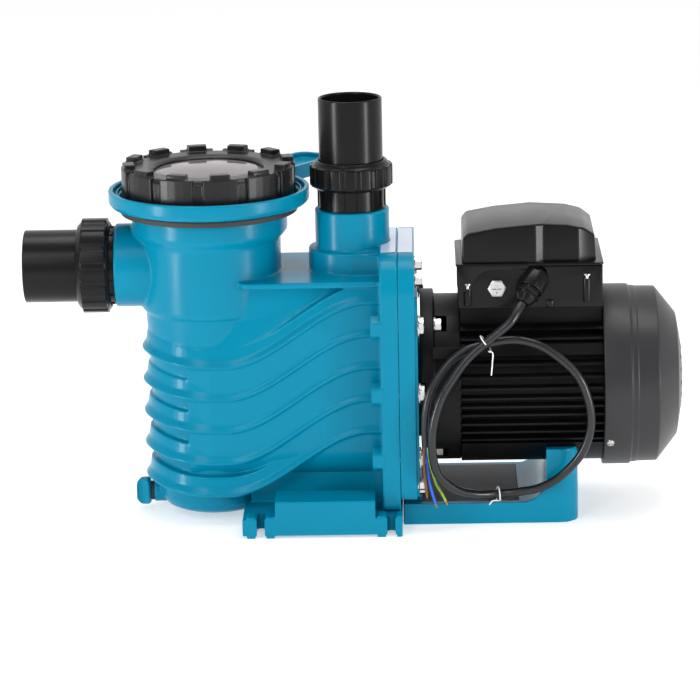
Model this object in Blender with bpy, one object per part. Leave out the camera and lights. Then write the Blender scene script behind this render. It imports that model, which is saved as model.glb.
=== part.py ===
"""Self-priming pool pump with strainer pot, two pipe unions and a fan-cooled motor.

Every named size is in millimetres and each mesh is scaled to metres when it is finished.
X runs from the suction end (-X) to the motor (+X), Y runs to the rear, Z runs up from the floor,
and the origin lies on the floor plane under the middle of the pump foot.
"""
import math

import bmesh
import bpy
from mathutils import Matrix, Vector

for leftover in list(bpy.data.objects):
    bpy.data.objects.remove(leftover, do_unlink=True)

MM = 0.001
FIT = 0.3            # gap between two pieces that touch or seat on each other
RUN = 0.3            # radial gap of a piece that turns or slides
BEARING_RUN = 0.5    # radial gap between a bearing and the turning shaft

# --- axes of the machine -------------------------------------------------------------------------
POT_X = -108.4       # upright axis of the strainer pot
DISCHARGE_X = 32.8   # upright axis of the outlet
SUCTION_Z = 251.5    # level axis of the inlet
MOTOR_Z = 132.5      # level axis of the motor and impeller

# --- strainer pot --------------------------------------------------------------------------------
POT_FLOOR_Z = 6.0
POT_STEP_Z = 209.5       # underside of the wider upper drum
POT_LOW_R = 58.5         # lower drum near its foot
POT_HIGH_R = 65.7        # lower drum under the step
POT_DRUM_R = 70.0
POT_NECK_R = 77.0
POT_NECK_Z = 280.0
POT_TOP_Z = 305.3
POT_WALL = 5.5
LID_BORE_R = 68.0        # bore that the lid plug slides into
BASKET_SEAT_Z = 292.0

# --- casing body ---------------------------------------------------------------------------------
BODY_HALF_Y = 66.0
BODY_WALL = 6.0
BODY_LOW_R = 36.0        # rounding of the lower corners of the body's section
BODY_BOTTOM_Z = 43.0
DECK_TOP_Z = 246.0
DECK_THICK = 5.5
DECK_HALF_Y = 72.0
CHAMBER_X0 = -12.0
DUCT_R = 24.0
BOSS_LOW_R = 43.8
BOSS_LOW_TOP_Z = 265.0
BOSS_R = 36.7
BOSS_TOP_Z = 306.5
INLET_R = 41.4
INLET_FACE_X = -202.5

FLANGE_X0 = 59.5
FLANGE_THICK = 17.5
FLANGE_HALF_Y = 95.0
FLANGE_TOP_Z = 272.0
FLANGE_BOTTOM_Z = 19.3
FLANGE_CORNER_R = 36.0

RIB_COUNT = 5
RIB_PITCH = 32.6
RIB_THICK = 4.4
RIB_TOP_Z = 162.0        # level of the uppermost rib at the front of the pot
RIB_LIFT = 63.5          # how far a rib climbs from the pot to the flange
RIB_REACH = 5.2          # how far a rib stands out from the flat side

BOLT_Y = 85.0
BOLT_LEVELS = (204.0, 137.0, 71.0)
BOLT_R = 5.0
BOLT_HEAD_AF = 17.0
BOLT_HEAD_T = 6.5
BOLT_BOSS_AF = 22.0
BOLT_BOSS_LEN = 9.6

# --- lid -----------------------------------------------------------------------------------------
GASKET_R = 88.0
GASKET_T = 5.6
COLLAR_R = 99.5
COLLAR_TOP_Z = 329.5
COLLAR_RIM = 5.0
ARM_ANGLE = 55.0
ARM_REACH = 185.0
ARM_WIDTH = 48.0
ARM_RISE = 3.5
LOCK_R = 86.0
LOCK_CORE_R = 82.5
LOCK_TOP_Z = 351.0
LOCK_LUG_RISE = 6.0
LOCK_LOBES = 12
LOCK_PHASE = 11.3
WINDOW_LEDGE = 13.0       # ring of the lock between the plug and the window

# --- unions: pipe radius, bore radius, nut radius, neck radius, neck length, nut length, reach ----
SUCTION_UNION = dict(pipe=36.0, bore=33.0, nut=47.2, neck=38.5, gap=5.0, nut_len=33.0, reach=90.7)
DISCHARGE_UNION = dict(pipe=31.5, bore=28.7, nut=41.0, neck=32.4, gap=20.5, nut_len=28.0, reach=110.2)
UNION_STUB = 22.0        # how deep an adapter sits in its boss

# --- drain ---------------------------------------------------------------------------------------
DRAIN_Z = 18.0
DRAIN_BOSS_R = 11.0
DRAIN_FACE_X = -172.0
DRAIN_R = 6.0
DRAIN_KNOB_R = 14.3
DRAIN_KNOB_T = 14.7

# --- feet ----------------------------------------------------------------------------------------
FOOT_HALF_X = 78.5
FOOT_HALF_Y = 116.0
FOOT_PAD = 3.0
FOOT_TOP_Z = 19.0
FOOT_BLOCK_Z = 37.0
FOOT_BLOCK_DEPTH = 40.0
SADDLE_HALF_Y = 53.0
SADDLE_TOP_Z = 64.0
FOOT_SLOTS = (-60.5, 67.5)
SLOT_WIDTH = 8.0
SLOT_DEPTHS = (26.0, 14.0)   # the right-hand slots stop short of the casing flange above them
SEAT_RISE = 1.8              # raised bolt seats beside the flange
SUPPORT_X0 = 79.3
SUPPORT_X1 = 252.5
SUPPORT_HALF_Y = 74.0
SUPPORT_H = 21.0
POST_X0 = 221.0
POST_TOP_Z = 75.0

# --- wet end -------------------------------------------------------------------------------------
PLATE_THICK = 16.2
PLATE_BOTTOM_Z = 30.0
PLATE_PAD = 2.5
DIFFUSER_R = 57.0
IMPELLER_R = 48.0
EYE_R = 20.0
SHAFT_R = 8.0
SEAT_R = 19.0

# --- motor ---------------------------------------------------------------------------------------
SHIELD_X0 = 98.5
SHIELD_FLANGE_R = 88.0
SHIELD_FLANGE_T = 13.1
SHIELD_R = 83.0
STATOR_X0 = 138.0
STATOR_X1 = 277.5
STATOR_R = 85.0
STATOR_ROOT_R = 76.0
STATOR_BORE_R = 70.4
FIN_COUNT = 11
FIN_PITCH = 9.0
FIN_THICK = 2.6
CORE_X0 = 160.0
CORE_X1 = 250.0
ROTOR_R = 43.0
AIR_GAP = 0.6
BEARING_SEAT_R = 12.5
FRONT_BEARING = dict(x0=114.0, x1=130.0, r=26.0)
REAR_BEARING = dict(x0=269.0, x1=283.0, r=23.5)
REAR_SEAT_R = 10.0
SHAFT_END_X = 328.0
COVER_X0 = 278.0
COVER_X1 = 358.0
COVER_R = 90.2
COVER_WALL = 3.0
MOTOR_BOLT_Y = 47.5
MOTOR_BOLT_DZ = 63.0

# --- terminal box --------------------------------------------------------------------------------
BOX_X0 = 136.0
BOX_X1 = 277.5
BOX_Y0 = -64.0
BOX_Y1 = 50.0
BOX_Z0 = 216.0
BOX_Z1 = 258.0
BOX_WALL = 3.0
COVER_TOP_Z = 299.0
GLAND_ROOT = (213.0, -64.0, 246.0)
GLAND_AXIS = (-0.46, -0.62, -0.635)
GLAND_SEAT = 15.5        # how far the slanted boss stands out along the gland's axis
GLAND_LEN = 32.0
GLAND_AF = 22.0

CORD_R = 4.3
WIRE_R = 1.4
TIE_R = 0.8


# --- helpers -------------------------------------------------------------------------------------
def solid(name, bm):
    """Close a bmesh into a new object with its faces pointing out."""
    bmesh.ops.remove_doubles(bm, verts=bm.verts, dist=0.0005)
    bmesh.ops.recalc_face_normals(bm, faces=bm.faces)
    mesh = bpy.data.meshes.new(name)
    bm.to_mesh(mesh)
    bm.free()
    obj = bpy.data.objects.new(name, mesh)
    bpy.context.scene.collection.objects.link(obj)
    return obj


def aim(direction):
    """Rotation that takes +Z to the given direction."""
    if direction == "Z":
        return Matrix.Identity(4)
    if direction == "X":
        return Matrix.Rotation(math.radians(90), 4, "Y")
    if direction == "-X":
        return Matrix.Rotation(math.radians(-90), 4, "Y")
    return Vector((0, 0, 1)).rotation_difference(Vector(direction)).to_matrix().to_4x4()


def sides(radius):
    """Number of flats that a round piece of this radius gets."""
    for limit, count in ((8, 8), (16, 10), (30, 16), (60, 20), (80, 28)):
        if radius < limit:
            return count
    return 32


def turned(name, profile, at, axis="Z", count=None):
    """Spin a closed (radius, height) outline about an axis through the point at."""
    steps = (count or sides(max(r for r, _ in profile)))
    bm = bmesh.new()
    ring = [bm.verts.new((r, 0.0, h)) for r, h in profile]
    edges = []
    for a, b in zip(ring, ring[1:] + ring[:1]):
        if a.co.x > 1e-6 or b.co.x > 1e-6:
            edges.append(bm.edges.new((a, b)))
    bmesh.ops.spin(bm, geom=ring + edges, cent=(0, 0, 0), axis=(0, 0, 1), dvec=(0, 0, 0),
                   angle=2 * math.pi, steps=steps, use_merge=True, use_duplicate=False)
    bmesh.ops.remove_doubles(bm, verts=bm.verts, dist=0.0005)
    bmesh.ops.transform(bm, matrix=Matrix.Translation(at) @ aim(axis), verts=bm.verts)
    return solid(name, bm)


def prism(name, outline, lo, hi, axis="Z"):
    """Extrude an outline: (x, y) along Z, (y, z) along X or (x, z) along Y."""
    order = {"Z": lambda a, b, h: (a, b, h), "X": lambda a, b, h: (h, a, b),
             "Y": lambda a, b, h: (a, h, b)}[axis]
    bm = bmesh.new()
    face = bm.faces.new([bm.verts.new(order(a, b, lo)) for a, b in outline])
    grown = bmesh.ops.extrude_face_region(bm, geom=[face])
    shift = Vector(order(0, 0, hi)) - Vector(order(0, 0, lo))
    moved = [v for v in grown["geom"] if isinstance(v, bmesh.types.BMVert)]
    bmesh.ops.translate(bm, vec=shift, verts=moved)
    return solid(name, bm)


def rod(name, radius, lo, hi, at, axis="Z"):
    """A cylinder along an axis, with its flats in step with a turned piece's."""
    obj = prism(name, arc(0, 0, radius, 0, 360, sides(radius))[:-1], lo, hi)
    obj.data.transform(Matrix.Translation(at) @ aim(axis))
    return obj


def block(name, x0, x1, y0, y1, z0, z1):
    return prism(name, [(x0, y0), (x1, y0), (x1, y1), (x0, y1)], z0, z1)


def tidy(mesh):
    """Merge the near-double points that a Boolean leaves."""
    bm = bmesh.new()
    bm.from_mesh(mesh)
    bmesh.ops.remove_doubles(bm, verts=bm.verts, dist=0.003)
    bmesh.ops.dissolve_degenerate(bm, edges=bm.edges, dist=0.003)
    bm.to_mesh(mesh)
    bm.free()


def combine(target, tools, operation):
    """Apply one Boolean for each tool and remove the tool."""
    for tool in tools:
        mod = target.modifiers.new("combine", "BOOLEAN")
        mod.operation = operation
        mod.object = tool
        mod.solver = "EXACT"
        graph = bpy.context.evaluated_depsgraph_get()
        mesh = bpy.data.meshes.new_from_object(target.evaluated_get(graph))
        target.modifiers.clear()
        target.data = mesh
        tidy(mesh)
        bpy.data.objects.remove(tool, do_unlink=True)
    return target


def join(target, *tools):
    return combine(target, tools, "UNION")


def cut(target, *tools):
    return combine(target, tools, "DIFFERENCE")


def keep(target, *tools):
    return combine(target, tools, "INTERSECT")


def arc(cx, cy, r, a0, a1, count):
    """Points on a circular arc, angles in degrees."""
    out = []
    for i in range(count + 1):
        a = math.radians(a0 + (a1 - a0) * i / count)
        out.append((cx + r * math.cos(a), cy + r * math.sin(a)))
    return out


def rounded(y0, y1, z0, z1, top_r, low_r, count=4):
    """Upright rectangle with rounded top and bottom corners."""
    return (arc(y1 - top_r, z1 - top_r, top_r, 0, 90, count)
            + arc(y0 + top_r, z1 - top_r, top_r, 90, 180, count)
            + arc(y0 + low_r, z0 + low_r, low_r, 180, 270, count)
            + arc(y1 - low_r, z0 + low_r, low_r, 270, 360, count))


def hexagon(af, cx=0.0, cy=0.0, turn=30.0):
    r = af / 2 / math.cos(math.radians(30))
    return [(cx + r * math.cos(math.radians(turn + 60 * i)),
             cy + r * math.sin(math.radians(turn + 60 * i))) for i in range(6)]


def flat_sided(half, z_low, z_top, low_r, inset=0.0, count=5):
    """Flat-sided section with rounded lower corners, moved inward by the inset."""
    r = low_r - inset
    return ([(half - inset, z_top - inset), (-half + inset, z_top - inset)]
            + arc(-half + low_r, z_low + low_r, r, 180, 270, count)
            + arc(half - low_r, z_low + low_r, r, 270, 360, count))


def inset_outline(points, depth):
    """Move every edge of a counter-clockwise outline inward by the same depth."""
    out = []
    count = len(points)
    for i in range(count):
        before, here, after = (Vector(points[(i + k) % count]) for k in (-1, 0, 1))
        d0, d1 = (here - before).normalized(), (after - here).normalized()
        n0, n1 = Vector((-d0.y, d0.x)), Vector((-d1.y, d1.x))
        bend = n0 + n1
        out.append(tuple(here + bend * (depth / (1 + n0.dot(n1)))))
    return out


def smooth_route(points, spacing):
    """Evenly spaced points on a Catmull-Rom curve through a route."""
    pts = [Vector(p) for p in points]
    pts = [2 * pts[0] - pts[1]] + pts + [2 * pts[-1] - pts[-2]]
    fine = []
    for p0, p1, p2, p3 in zip(pts, pts[1:], pts[2:], pts[3:]):
        for i in range(24):
            t = i / 24
            fine.append(0.5 * (2 * p1 + (p2 - p0) * t + (2 * p0 - 5 * p1 + 4 * p2 - p3) * t * t
                               + (3 * p1 - p0 - 3 * p2 + p3) * t ** 3))
    fine.append(pts[-2])
    total = sum((b - a).length for a, b in zip(fine, fine[1:]))
    count = max(2, round(total / spacing))
    out, walked, target = [fine[0]], 0.0, total / count
    for a, b in zip(fine, fine[1:]):
        step = (b - a).length
        while walked + step >= target - 1e-6 and len(out) < count:
            out.append(a.lerp(b, (target - walked) / step))
            target += total / count
        walked += step
    return out + [fine[-1]]


def tube(name, points, radius, material, spacing, resolution=2):
    """A cord: a poly curve with a round bevel and filled ends."""
    curve = bpy.data.curves.new(name, "CURVE")
    curve.dimensions = "3D"
    curve.bevel_depth = radius * MM
    curve.bevel_resolution = resolution
    curve.use_fill_caps = True
    route = smooth_route(points, spacing)
    spline = curve.splines.new("POLY")
    spline.points.add(len(route) - 1)
    for point, co in zip(spline.points, route):
        point.co = (co.x * MM, co.y * MM, co.z * MM, 1.0)
    curve.materials.append(material)
    obj = bpy.data.objects.new(name, curve)
    bpy.context.scene.collection.objects.link(obj)
    return obj


def material(name, colour, roughness, metallic=0.0):
    mat = bpy.data.materials.new(name)
    mat.use_nodes = True
    shader = mat.node_tree.nodes["Principled BSDF"]
    shader.inputs["Base Color"].default_value = (*colour, 1.0)
    shader.inputs["Roughness"].default_value = roughness
    shader.inputs["Metallic"].default_value = metallic
    return mat


def finish(obj, look, origin=(0.0, 0.0, 0.0), smooth=35.0):
    """Scale to metres, put the object's origin on the given point and shade it."""
    colour, roughness, metallic = LOOKS[look]
    start = Vector(origin)
    bm = bmesh.new()
    bm.from_mesh(obj.data)
    bmesh.ops.remove_doubles(bm, verts=bm.verts, dist=0.002)
    bmesh.ops.dissolve_degenerate(bm, edges=bm.edges, dist=0.002)
    bmesh.ops.transform(bm, matrix=Matrix.Scale(MM, 4) @ Matrix.Translation(-start),
                        verts=bm.verts)
    bm.to_mesh(obj.data)
    bm.free()
    obj.location = start * MM
    obj.data.materials.clear()
    obj.data.materials.append(material(obj.name, colour, roughness, metallic))
    obj.data.shade_smooth()
    obj.data.set_sharp_from_angle(angle=math.radians(smooth))
    return obj


LOOKS = {
    "teal": ((0.0, 0.23, 0.38), 0.32, 0.0),
    "black": ((0.018, 0.018, 0.02), 0.38, 0.0),
    "charcoal": ((0.045, 0.045, 0.05), 0.45, 0.0),
    "motor": ((0.02, 0.02, 0.022), 0.5, 0.3),
    "rubber": ((0.03, 0.03, 0.032), 0.8, 0.0),
    "mat": ((0.09, 0.09, 0.095), 0.75, 0.0),
    "clear": ((0.6, 0.52, 0.56), 0.08, 0.0),
    "basket": ((0.75, 0.72, 0.72), 0.5, 0.0),
    "steel": ((0.6, 0.6, 0.6), 0.25, 1.0),
    "ceramic": ((0.85, 0.83, 0.78), 0.3, 0.0),
    "noryl": ((0.05, 0.05, 0.055), 0.5, 0.0),
    "copper": ((0.6, 0.24, 0.1), 0.35, 1.0),
    "laminate": ((0.25, 0.25, 0.27), 0.45, 0.9),
    "label": ((0.55, 0.58, 0.66), 0.4, 0.0),
    "brown": ((0.2, 0.07, 0.02), 0.45, 0.0),
    "blue": ((0.01, 0.09, 0.45), 0.45, 0.0),
    "yellow_green": ((0.45, 0.6, 0.03), 0.45, 0.0),
    "white": ((0.8, 0.8, 0.8), 0.5, 0.0),
}

FLANGE_X1 = FLANGE_X0 + FLANGE_THICK
PLATE_X0 = FLANGE_X1 + FIT
PLATE_X1 = PLATE_X0 + PLATE_THICK
PAD_X1 = PLATE_X1 + PLATE_PAD
HEAD_X0 = PAD_X1 + FIT
MOTOR_AXIS = (0.0, 0.0, MOTOR_Z)
POT_AXIS = (POT_X, 0.0, 0.0)
BOLT_SPOTS = [(side * BOLT_Y, z) for side in (-1, 1) for z in BOLT_LEVELS]


# --- pump casing ---------------------------------------------------------------------------------
def pot_radius(z):
    """Outer radius of the tapered lower drum."""
    return POT_LOW_R + (POT_HIGH_R - POT_LOW_R) * (z - 47.0) / (203.0 - 47.0)


def rib_level(x):
    """Height of the uppermost rib's middle above a point on the casing."""
    if x <= POT_X:
        return RIB_TOP_Z + 8.0 * min(1.0, (POT_X - x) / pot_radius(160.0)) ** 2
    run = (x - POT_X - 16.0) / (FLANGE_X0 - 12.0 - POT_X - 16.0)
    run = min(1.0, max(0.0, run))
    return RIB_TOP_Z + RIB_LIFT * run * run * (3 - 2 * run)


def rib(index):
    """One wavy rib: a band around the pot's free side that runs to the flange on both sides."""
    drop = index * RIB_PITCH
    reach = BODY_HALF_Y + RIB_REACH
    path = []
    count, bend = 7, 8
    for i in range(count + 1):
        path.append((FLANGE_X0 + 4.0 + (POT_X - FLANGE_X0 - 4.0) * i / count, -1.0, 0.0))
    for i in range(1, bend):
        a = math.radians(270 - 180 * i / bend)
        path.append((POT_X, math.cos(a), math.sin(a)))
    for i in range(count + 1):
        path.append((POT_X + (FLANGE_X0 + 4.0 - POT_X) * i / count, 1.0, 0.0))
    bm = bmesh.new()
    rings = []
    for x, c, s in path:
        if s or abs(c) < 1:
            outer = (POT_X + reach * c, reach * s)
            inner = (POT_X + (BODY_HALF_Y - 12.0) * c, (BODY_HALF_Y - 12.0) * s)
        else:
            outer = (x, reach * c)
            inner = (x, (BODY_HALF_Y - 12.0) * c)
        z = rib_level(outer[0]) - drop
        h = RIB_THICK / 2
        rings.append([bm.verts.new((inner[0], inner[1], z - h - 1.0)),
                      bm.verts.new((outer[0], outer[1], z - h + 0.6)),
                      bm.verts.new((outer[0], outer[1], z + h - 0.6)),
                      bm.verts.new((inner[0], inner[1], z + h + 1.0))])
    for a, b in zip(rings, rings[1:]):
        for i in range(4):
            j = (i + 1) % 4
            bm.faces.new((a[i], a[j], b[j], b[i]))
    bm.faces.new(rings[0])
    bm.faces.new(list(reversed(rings[-1])))
    return solid("rib", bm)


casing = turned("pump_casing", [
    (0, POT_FLOOR_Z), (44, POT_FLOOR_Z), (52, POT_FLOOR_Z + 4), (POT_LOW_R - 2, POT_FLOOR_Z + 12),
    (POT_LOW_R, 47), (pot_radius(125), 125), (POT_HIGH_R, 203), (POT_HIGH_R, POT_STEP_Z),
    (POT_DRUM_R - 1, POT_STEP_Z), (POT_DRUM_R, POT_STEP_Z + 1.5), (POT_DRUM_R, POT_NECK_Z),
    (POT_NECK_R, POT_NECK_Z + 6), (POT_NECK_R, POT_TOP_Z), (0, POT_TOP_Z)], POT_AXIS)
body = prism("body", [(POT_X - 20, -55), (POT_X + 4, -BODY_HALF_Y), (FLANGE_X0 + 2, -BODY_HALF_Y),
                      (FLANGE_X0 + 2, BODY_HALF_Y), (POT_X + 4, BODY_HALF_Y), (POT_X - 20, 55)],
             BODY_BOTTOM_Z - 5, DECK_TOP_Z - 1)
keep(body, prism("section", flat_sided(BODY_HALF_Y, BODY_BOTTOM_Z, DECK_TOP_Z - 2, BODY_LOW_R),
                 POT_X - 30, FLANGE_X0 + 2, "X"))
deck = prism("deck", [(POT_X + 36, -DECK_HALF_Y), (FLANGE_X0 + 2, -DECK_HALF_Y),
                      (FLANGE_X0 + 2, DECK_HALF_Y), (POT_X + 36, DECK_HALF_Y),
                      (POT_X + 18, 50), (POT_X + 18, -50)],
             DECK_TOP_Z - DECK_THICK, DECK_TOP_Z)
outlet_low = turned("outlet_low", [
    (0, DECK_TOP_Z - 8), (BOSS_LOW_R, DECK_TOP_Z - 8), (BOSS_LOW_R, BOSS_LOW_TOP_Z - 4),
    (BOSS_LOW_R - 3.5, BOSS_LOW_TOP_Z), (0, BOSS_LOW_TOP_Z)], (DISCHARGE_X, 0, 0))
outlet_side = block("outlet_side", DISCHARGE_X, FLANGE_X0 + 2, -BOSS_LOW_R + 0.4,
                    BOSS_LOW_R - 0.4, DECK_TOP_Z - 8, BOSS_LOW_TOP_Z - 3)
outlet = turned("outlet", [
    (0, DECK_TOP_Z - 8), (BOSS_R, DECK_TOP_Z - 8), (BOSS_R, BOSS_TOP_Z - 1.5),
    (BOSS_R - 1.5, BOSS_TOP_Z), (0, BOSS_TOP_Z)], (DISCHARGE_X, 0, 0))
inlet = turned("inlet", [
    (0, 0), (INLET_R - 1.5, 0), (INLET_R, 1.5), (INLET_R, POT_X - 15 - INLET_FACE_X),
    (0, POT_X - 15 - INLET_FACE_X)], (INLET_FACE_X, 0, SUCTION_Z), "X")
flange = prism("flange", rounded(-FLANGE_HALF_Y, FLANGE_HALF_Y, FLANGE_BOTTOM_Z, FLANGE_TOP_Z,
                                 FLANGE_CORNER_R, 8.0), FLANGE_X0, FLANGE_X1, "X")
drain_boss = rod("drain_boss", DRAIN_BOSS_R, 0, POT_X - 45 - DRAIN_FACE_X,
                 (DRAIN_FACE_X, 0, DRAIN_Z), "X")
join(casing, body, deck, outlet_low, outlet_side, outlet, inlet, flange, drain_boss)
join(casing, *[rib(i) for i in range(RIB_COUNT)])
join(casing, *[prism("bolt_boss", hexagon(BOLT_BOSS_AF, y, z), FLANGE_X0 - BOLT_BOSS_LEN,
                     FLANGE_X0 + 2, "X") for y, z in BOLT_SPOTS])

ADAPTER_R = {"suction": SUCTION_UNION["bore"], "discharge": DISCHARGE_UNION["bore"]}


def stub_radius(union):
    return union["bore"] + 2.0


inner_low = POT_LOW_R - POT_WALL
inner_high = POT_HIGH_R - POT_WALL
cut(casing, turned("pot_bore", [
    (0, POT_FLOOR_Z + 6), (inner_low - 6, POT_FLOOR_Z + 6), (inner_low - 1, POT_FLOOR_Z + 14),
    (inner_low, 47), (inner_high, 203), (inner_high + 2, BASKET_SEAT_Z),
    (LID_BORE_R, BASKET_SEAT_Z), (LID_BORE_R, POT_TOP_Z + 2), (0, POT_TOP_Z + 2)], POT_AXIS))
cut(casing, rod("suction_stub", stub_radius(SUCTION_UNION) + FIT, -1, UNION_STUB + 1,
                (INLET_FACE_X, 0, SUCTION_Z), "X"))
cut(casing, rod("suction_way", SUCTION_UNION["bore"] - 5, -1, 60,
                (INLET_FACE_X, 0, SUCTION_Z), "X"))
cut(casing, prism("chamber", flat_sided(BODY_HALF_Y, BODY_BOTTOM_Z, DECK_TOP_Z - DECK_THICK,
                                        BODY_LOW_R, BODY_WALL), CHAMBER_X0, FLANGE_X1 + 1, "X"))
cut(casing, rod("duct", DUCT_R, POT_X + 20, CHAMBER_X0 + 5, MOTOR_AXIS, "X"))
cut(casing, rod("discharge_way", DISCHARGE_UNION["bore"] - 4, 200, BOSS_TOP_Z + 2,
                (DISCHARGE_X, 0, 0), "Z"))
cut(casing, rod("discharge_stub", stub_radius(DISCHARGE_UNION) + FIT,
                BOSS_TOP_Z - UNION_STUB - 1, BOSS_TOP_Z + 2, (DISCHARGE_X, 0, 0), "Z"))
SEAL_Y = BODY_HALF_Y + 10
SEAL_Z0 = BODY_BOTTOM_Z - 9
SEAL_Z1 = DECK_TOP_Z + 2
cut(casing, prism("gasket_seat", rounded(-SEAL_Y, SEAL_Y, SEAL_Z0, SEAL_Z1, 28, 28),
                  FLANGE_X1 - 3 - FIT, FLANGE_X1 + 1, "X"))
cut(casing, *[rod("bolt_hole", BOLT_R + FIT, FLANGE_X0 - BOLT_BOSS_LEN + 2, FLANGE_X1 + 1,
                  (0, y, z), "X") for y, z in BOLT_SPOTS])
cut(casing, rod("drain_hole", DRAIN_R + 3 * RUN, -1, 30, (DRAIN_FACE_X, 0, DRAIN_Z), "X"))
finish(casing, "teal", smooth=30)

gasket = prism("casing_gasket", rounded(-SEAL_Y + FIT, SEAL_Y - FIT, SEAL_Z0 + FIT, SEAL_Z1 - FIT,
                                        28 - FIT, 28 - FIT), FLANGE_X1 - 3, FLANGE_X1, "X")
cut(gasket, prism("gasket_hole", rounded(-BODY_HALF_Y + 3, BODY_HALF_Y - 3, BODY_BOTTOM_Z + 3,
                                         DECK_TOP_Z - 7, 14, 50), FLANGE_X1 - 5, FLANGE_X1 + 2, "X"))
finish(gasket, "rubber")

LABEL_T = 0.6
label = block("rating_label", FLANGE_X0 + 1.5, FLANGE_X1 - 1.5, -FLANGE_HALF_Y + FLANGE_CORNER_R + 2,
              FLANGE_HALF_Y - FLANGE_CORNER_R - 2, FLANGE_TOP_Z + FIT, FLANGE_TOP_Z + FIT + LABEL_T)
cut(label, rod("outlet_way", BOSS_R + 3 * FIT, 200, 400, (DISCHARGE_X, 0, 0)))
finish(label, "label")

# --- lid, collar and strainer --------------------------------------------------------------------
GASKET_Z0 = POT_TOP_Z + FIT
COLLAR_Z0 = GASKET_Z0 + GASKET_T + FIT
FLOOR_Z = COLLAR_Z0 + 6.5
BORE_IN_R = LID_BORE_R + 2.5
finish(turned("collar_gasket", [(BORE_IN_R, GASKET_Z0), (GASKET_R, GASKET_Z0),
                                (GASKET_R, GASKET_Z0 + GASKET_T), (BORE_IN_R, GASKET_Z0 + GASKET_T)],
              POT_AXIS), "rubber")

collar = turned("lid_collar", [
    (BORE_IN_R, COLLAR_Z0), (GASKET_R, COLLAR_Z0), (COLLAR_R - 1, COLLAR_Z0 + 3.5),
    (COLLAR_R, COLLAR_Z0 + 5), (COLLAR_R, COLLAR_TOP_Z - 1), (COLLAR_R - 1, COLLAR_TOP_Z),
    (COLLAR_R - COLLAR_RIM, COLLAR_TOP_Z), (COLLAR_R - COLLAR_RIM, FLOOR_Z + 5),
    (LOCK_R + 2, FLOOR_Z + 5), (LOCK_R + 2, FLOOR_Z), (BORE_IN_R, FLOOR_Z)], POT_AXIS)
arm_dir = Vector((math.cos(math.radians(ARM_ANGLE)), math.sin(math.radians(ARM_ANGLE))))
arm_side = Vector((-arm_dir.y, arm_dir.x))


def arm_outline(near, far, half):
    """Plan of the collar's arm: square at the ring, rounded at its free end."""
    pts = []
    corner = min(14.0, half - 1)
    for along, across in ((near, -half), (far - corner, -half), (far - corner * 0.3, -half + corner * 0.3),
                          (far, -half + corner), (far, half - corner),
                          (far - corner * 0.3, half - corner * 0.3), (far - corner, half), (near, half)):
        p = arm_dir * along + arm_side * across
        pts.append((POT_X + p.x, p.y))
    return pts


ARM_TOP_Z = COLLAR_TOP_Z + ARM_RISE
join(collar, prism("arm", arm_outline(COLLAR_R - 3, ARM_REACH, ARM_WIDTH / 2),
                   COLLAR_TOP_Z - 11, ARM_TOP_Z))
cut(collar, prism("arm_pocket", arm_outline(COLLAR_R + 3, ARM_REACH - COLLAR_RIM,
                                            ARM_WIDTH / 2 - COLLAR_RIM),
                  ARM_TOP_Z - 6, ARM_TOP_Z + 2))
finish(collar, "teal", (POT_X, 0, COLLAR_Z0))

PLUG_R = LID_BORE_R - 1.0
WINDOW_R = PLUG_R - WINDOW_LEDGE
PLUG_Z0 = BASKET_SEAT_Z + 4.0
GROOVE_Z = PLUG_Z0 + 4.0
WINDOW_Z0 = FLOOR_Z + FIT
LOCK_INNER_R = LOCK_CORE_R - 3.5
LOCK_ROOF_Z = LOCK_TOP_Z - 5.0
finish(turned("lid_window", [
    (PLUG_R - 5, PLUG_Z0), (PLUG_R, PLUG_Z0), (PLUG_R, GROOVE_Z), (PLUG_R - 2.8, GROOVE_Z),
    (PLUG_R - 2.8, GROOVE_Z + 4.2), (PLUG_R, GROOVE_Z + 4.2), (PLUG_R, WINDOW_Z0),
    (LOCK_INNER_R - 1.5, WINDOW_Z0), (LOCK_INNER_R - 1.5, WINDOW_Z0 + 6), (PLUG_R - 1, WINDOW_Z0 + 6),
    (PLUG_R - 1, LOCK_ROOF_Z - FIT), (WINDOW_R - 2 * FIT, LOCK_ROOF_Z - FIT),
    (WINDOW_R - 5, LOCK_ROOF_Z + 1.5), (WINDOW_R * 0.55, LOCK_ROOF_Z + 4), (0, LOCK_ROOF_Z + 5),
    (0, LOCK_ROOF_Z + 1), (WINDOW_R - 6, LOCK_ROOF_Z - 3), (PLUG_R - 6, LOCK_ROOF_Z - 8)], POT_AXIS),
    "clear", (POT_X, 0, PLUG_Z0))
finish(turned("lid_oring", [
    (PLUG_R - 2.5, GROOVE_Z + FIT), (LID_BORE_R - FIT, GROOVE_Z + FIT),
    (LID_BORE_R - FIT, GROOVE_Z + 3.9), (PLUG_R - 2.5, GROOVE_Z + 3.9)], POT_AXIS,
    count=sides(LOCK_INNER_R)), "rubber", (POT_X, 0, GROOVE_Z))

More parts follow.
